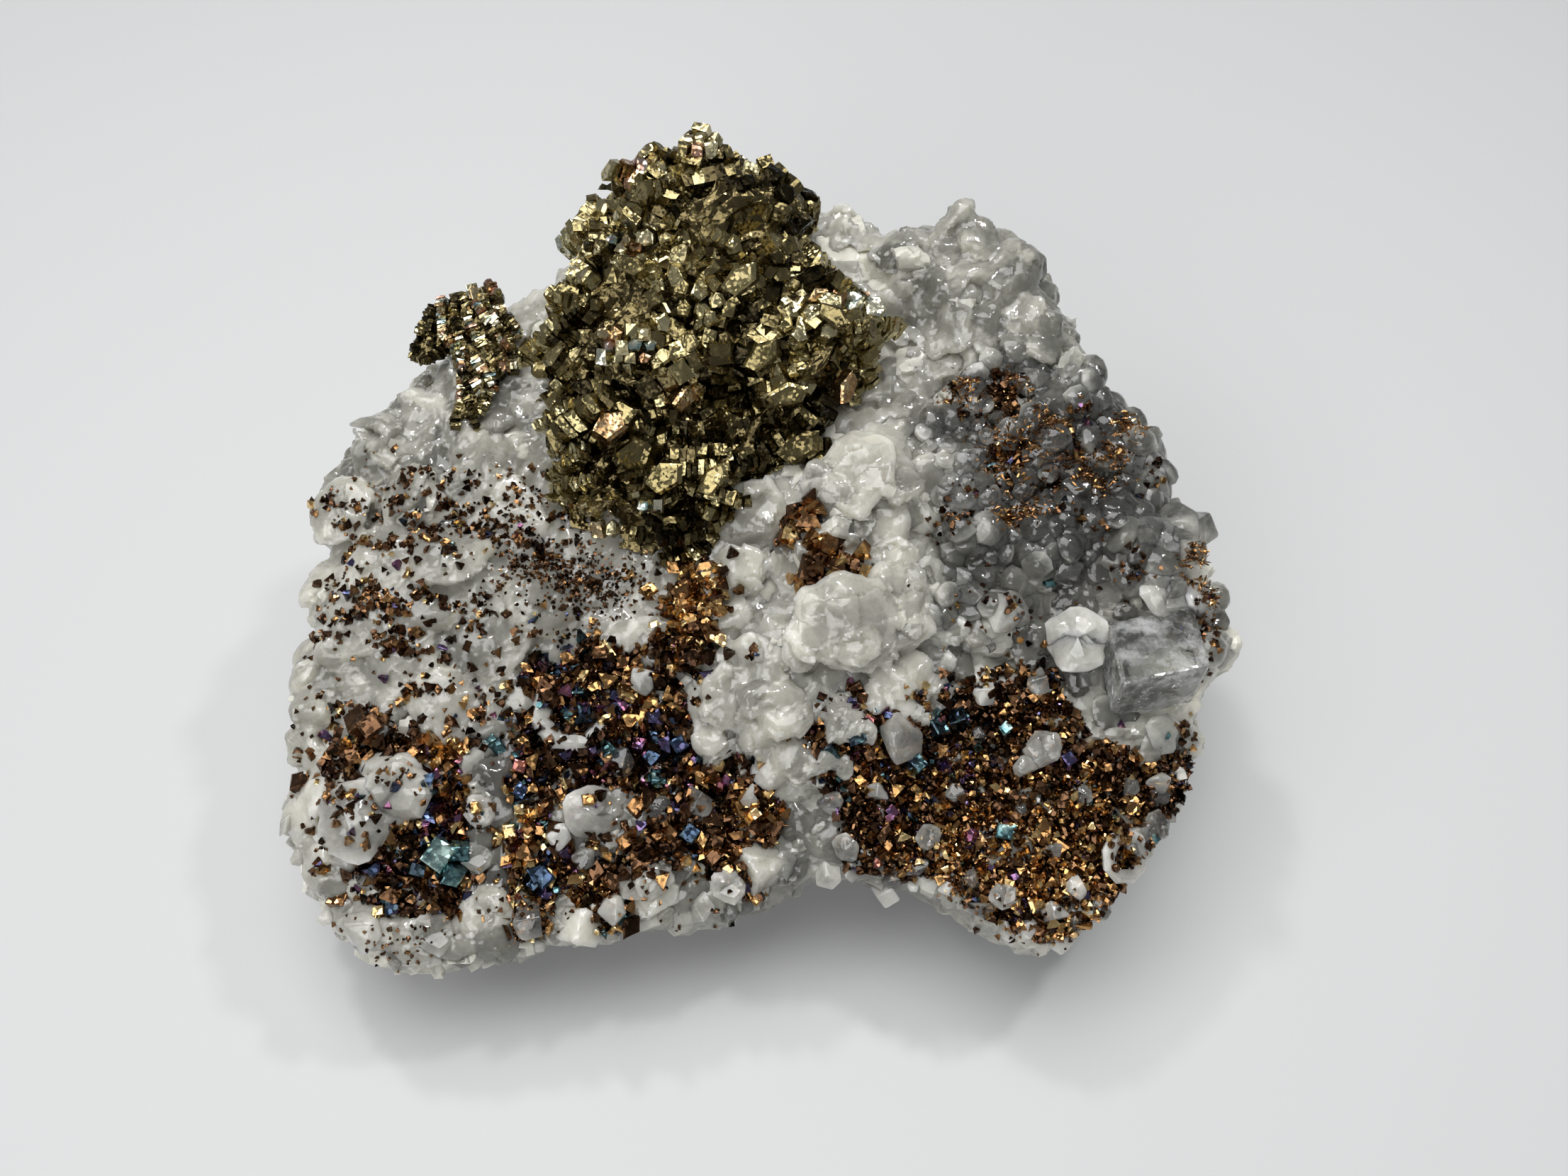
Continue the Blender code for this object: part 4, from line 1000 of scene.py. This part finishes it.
blocks = []
for x, y, width, steps, lift in RINGS:
    seat, up = on_top(x, y)
    blocks.append((ring_form(steps), stand(seat + up * lift, up, (width, width, width * 0.9), 0.4, 0.2, 1.0), 0.0))
for x, y, width, lean in BLOCKS:
    seat, up = on_top(x, y) or on_top(x * 0.94, y * 0.94)
    way = bead_rng.uniform(0, math.tau)
    lift = width * 0.16 + (0.8 if on_crust(x, y) else 0)
    matrix = stand(seat + up * lift, up, width, way * 2, math.radians(lean), way)
    shape = bead_rng.choice(chunks + [petals[4], petals[3]])
    blocks.append((shape, matrix, bead_rng.uniform(-0.1, 0.15) if width > 7.2 else bead_rng.uniform(-0.05, 0.25)))


def on_front_wall(place, normal):
    return 7 < place.z < 33 and 0.1 < normal.z < 0.8 and place.y < -30


for place, normal in spread_out(bead_rng, hill_seats, 3.2, on_front_wall):
    width, way = bead_rng.uniform(2.2, 5.0), bead_rng.uniform(0, math.tau)
    matrix = stand(place + normal * 0.3, normal, width, way * 2, bead_rng.uniform(0, 0.8), way)
    blocks.append((bead_rng.choice(chunks + nail_heads), matrix, bead_rng.uniform(-0.15, 0.25)))
block_piece = crystal_piece("clear_blocks", blocks, cloudy_calcite, crisp=30)


# Loose grains: single crystals of the tarnished ore that grew scattered on the white ground at the left,
# denser below the mound, with pockets of larger ones between the petals and rusty nests in the knoll's gaps.
SPRINKLES = [
    # plan place, half width, half depth, grains per square millimetre, smallest and largest size
    (-49, -10, 13, 12, 0.5, 0.7, 2), (-38, -2, 12, 8, 0.6, 0.6, 1.6), (-25.5, -10, 9, 4.4, 11, 0.35, 0.9),
    (-30, -8, 10, 5, 0.8, 0.35, 0.9), (-34, -1, 9, 4, 2, 0.4, 1.1), (-50, -15, 7, 2.5, 1.8, 0.7, 2),
    (-45, -20, 5, 2.5, 2, 0.8, 2.2), (-57, 5, 5, 3, 0.5, 0.4, 0.9), (-47, 2, 9, 3, 1.4, 0.5, 1.1),
    (-38, -28, 6, 6, 0.35, 0.7, 1.8), (8.2, -10.6, 4.2, 2.4, 3.2, 2, 4.2), (4.5, -4.4, 3.2, 1.8, 3.2, 1.8, 3.8),
    (-10.8, -7, 2, 1.6, 4, 0.8, 1.8), (-10, -13, 5, 4.5, 3.6, 1.3, 3.2), (-11, -19, 4.5, 4.5, 3.2, 1.3, 3.2),
    (45.2, -42.9, 2, 1.8, 6, 0.9, 1.7), (-25.7, -24.4, 5, 3.4, 3.6, 1.4, 3), (-51.9, -39.9, 4, 3, 1.6, 0.8, 1.8),
    (-2, -21, 1.4, 0.9, 3, 0.9, 1.7), (24, -4, 3, 2, 3, 0.6, 1.4), (48, -10, 3, 2, 3, 0.6, 1.4),
    (58, -17, 2.5, 5, 2.6, 0.6, 1.4), (33, -21, 5, 2, 2.4, 0.9, 2), (22, -26, 6, 2.5, 1.8, 0.9, 2),
    (55, -31, 3, 6, 1.8, 0.7, 1.6), (-60, -30, 3, 9, 0.7, 0.7, 1.6), (-34, -24, 6, 4, 0.8, 0.8, 2),
    (-10, -50, 45, 3, 0.6, 0.5, 1.2), (33, -52, 12, 4, 1.6, 0.5, 1.2), (-46, -54, 8, 3, 1.6, 0.4, 0.9),
    (-15.6, -40, 4, 4, 1, 0.8, 1.8), (30, -15, 8, 4, 0.8, 0.6, 1.6),
]
RUST_DENSITY = 17.0
SPRINKLES += [(x, y, a * 1.2, b * 1.2, RUST_DENSITY, 0.3, 0.8) for x, y, a, b in RUST]
# Small clumps strewn over the left slope, the front left and the knoll: corners, how many, largest grain.
CLUMPS = (((-60, -22), (-26, 1), 64, 1.6), ((-58, -47), (-8, -24), 60, 2.2), ((24, -6), (54, 16), 14, 1.6))
clump_rng = random.Random(29)
for low, high, count, largest in CLUMPS:
    for _ in range(count):
        x, y = clump_rng.uniform(low[0], high[0]), clump_rng.uniform(low[1], high[1])
        SPRINKLES.append((x, y, clump_rng.uniform(0.8, 3), clump_rng.uniform(0.6, 1.6), 3.0, 0.5, largest))


def skin_of(piece):
    return BVHTree.FromPolygons([v.co / MM for v in piece.data.vertices], [p.vertices for p in piece.data.polygons])


calcite_pieces = (calcite, petal_piece, saddle_piece, left_piece, ridge_piece, bead_piece, block_piece)
calcite_skins = [skin_of(piece) for piece in calcite_pieces]


def on_crystals(x, y):
    """The seat on top of the finished calcite, crystals and hill alike."""
    tops = [top for top in (on_top(x, y, skin) for skin in calcite_skins) if top]
    return max(tops, key=lambda top: top[0].z) if tops else None


loose = []
loose_rng = random.Random(13)
for x, y, half_width, half_depth, density, smallest, largest in SPRINKLES:
    rusty, fine = density == RUST_DENSITY, largest <= 1.2
    heap = 0.3 * min(half_width, half_depth) if smallest >= 0.8 and density > 3 else 0
    for _ in range(round(math.pi * half_width * half_depth * density * 0.5)):
        a, b = loose_rng.gauss(0, 0.5) * half_width, loose_rng.gauss(0, 0.5) * half_depth
        top = on_crystals(x + a, y + b)
        if not top:
            continue
        size = smallest + (largest - smallest) * loose_rng.random() ** 2
        place = top[0] + top[1] * size * 0.12 + Vector((0, 0, loose_rng.uniform(0, heap) if heap else 0))
        tint = loose_rng.gauss(0.33 if rusty else 0.2, 0.09) if fine else film_tint(loose_rng, x + a, y + b)
        sizes = (size * 2.4, size * 0.6, size * 0.6) if rusty else size
        loose.append((loose_rng.choice(wedges + kites), tumbled(loose_rng, place, sizes), tint))
crystal_piece("loose_grains", loose, tarnished_ore)


# The clear rhomb: one cleavage block of calcite on the right, as clear as glass and a little grey in its
# depth, with worn edges, veils of 4 mm inside, and flat faces of 0.9 mm that break its gloss.
clear_calcite, tree = new_material("clear_calcite")
place = add(tree, "TexCoord", {}).outputs["Object"]
flats = add(tree, "Bump", {"Strength": 1.0, "Distance": 0.16}, {"Height": facet_height(tree, place, 1100.0)})
veils = add(tree, "TexNoise", {"Scale": 260.0, "Detail": 7.0, "Roughness": 0.7}, {"Vector": place})
through = add(tree, "MapRange", {1: 0.45, 2: 0.72, 3: 1.0, 4: 0.55}, {"Value": veils.outputs["Fac"]})
shader = add(
    tree, "BsdfPrincipled",
    {
        "Base Color": linear("#FAFBFA"), "Roughness": 0.07, "IOR": CALCITE_IOR, "Subsurface Weight": 1.0,
        "Subsurface Scale": 0.003, "Subsurface Radius": (1.0, 1.0, 1.0),
    },
    {"Normal": flats.outputs["Normal"], "Transmission Weight": through.outputs[0]},
)
depth = add(tree, "VolumeAbsorption", {"Color": linear("#DDE2E0"), "Density": 5.0})
add(tree, "OutputMaterial", {}, {"Surface": shader.outputs[0], "Volume": depth.outputs[0]})
rhomb = solid("clear_calcite_rhomb")
bmesh.ops.dissolve_limit(rhomb, angle_limit=0.01, verts=rhomb.verts, edges=rhomb.edges)
worn(rhomb, rhomb.edges, 0.5, 2)
clear_rhomb = skin_piece("clear_rhomb", rhomb, clear_calcite, lambda place, normal: 0)
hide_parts("clear_calcite_rhomb")


# The table and the light: a pale matt sheet, one broad soft panel overhead that falls off to the back, and
# small lamps that give the crystals their sparks. The camera looks down at the front from close by.
pale_table, tree = new_material("pale_table")
shader = add(tree, "BsdfPrincipled", {"Base Color": linear("#C1C1C1"), "Roughness": 0.6})
add(tree, "OutputMaterial", {}, {"Surface": shader.outputs[0]})
sheet = bmesh.new()
bmesh.ops.create_grid(sheet, x_segments=1, y_segments=1, size=1.6)
mesh = bpy.data.meshes.new("table")
sheet.to_mesh(mesh)
sheet.free()
mesh.materials.append(pale_table)
table = placed("table", mesh)

world = bpy.data.worlds.new("room")
bpy.context.scene.world = world
world.use_nodes = True
world.node_tree.nodes["Background"].inputs["Color"].default_value = linear("#DCE0E4")
world.node_tree.nodes["Background"].inputs["Strength"].default_value = 0.34

AIM = Vector((0.002, -0.010, 0.036))
LAMPS = [
    # name, place in metres, size, power
    ("overhead", (-0.05, 0.05, 0.62), 0.45, 2.6),
    ("window", (-0.5, -0.1, 0.6), 0.3, 0.8),
    ("fill", (-0.25, -0.6, 0.4), 0.4, 1.7),
    ("spark_right", (0.30, 0.16, 0.55), 0.05, 0.8),
    ("spark_left", (-0.2, 0.3, 0.6), 0.06, 0.9),
]
for name, spot, width, power in LAMPS:
    lamp = bpy.data.lights.new(name, "AREA")
    lamp.size = width
    lamp.energy = power
    lamp_object = placed(name, lamp)
    lamp_object.location = spot
    lamp_object.rotation_euler = (Vector(spot) - Vector((0, 0, 0.03))).to_track_quat("Z", "Y").to_euler()

camera = bpy.data.cameras.new("camera")
camera.lens = 31.18
camera.sensor_width = 36
camera.clip_start = 0.005
camera_object = placed("camera", camera)
camera_object.location = (0.002, -0.1123, 0.1877)
camera_object.rotation_euler = (camera_object.location - AIM).to_track_quat("Z", "Y").to_euler()
bpy.context.scene.camera = camera_object
bpy.context.scene.view_settings.view_transform = "Standard"
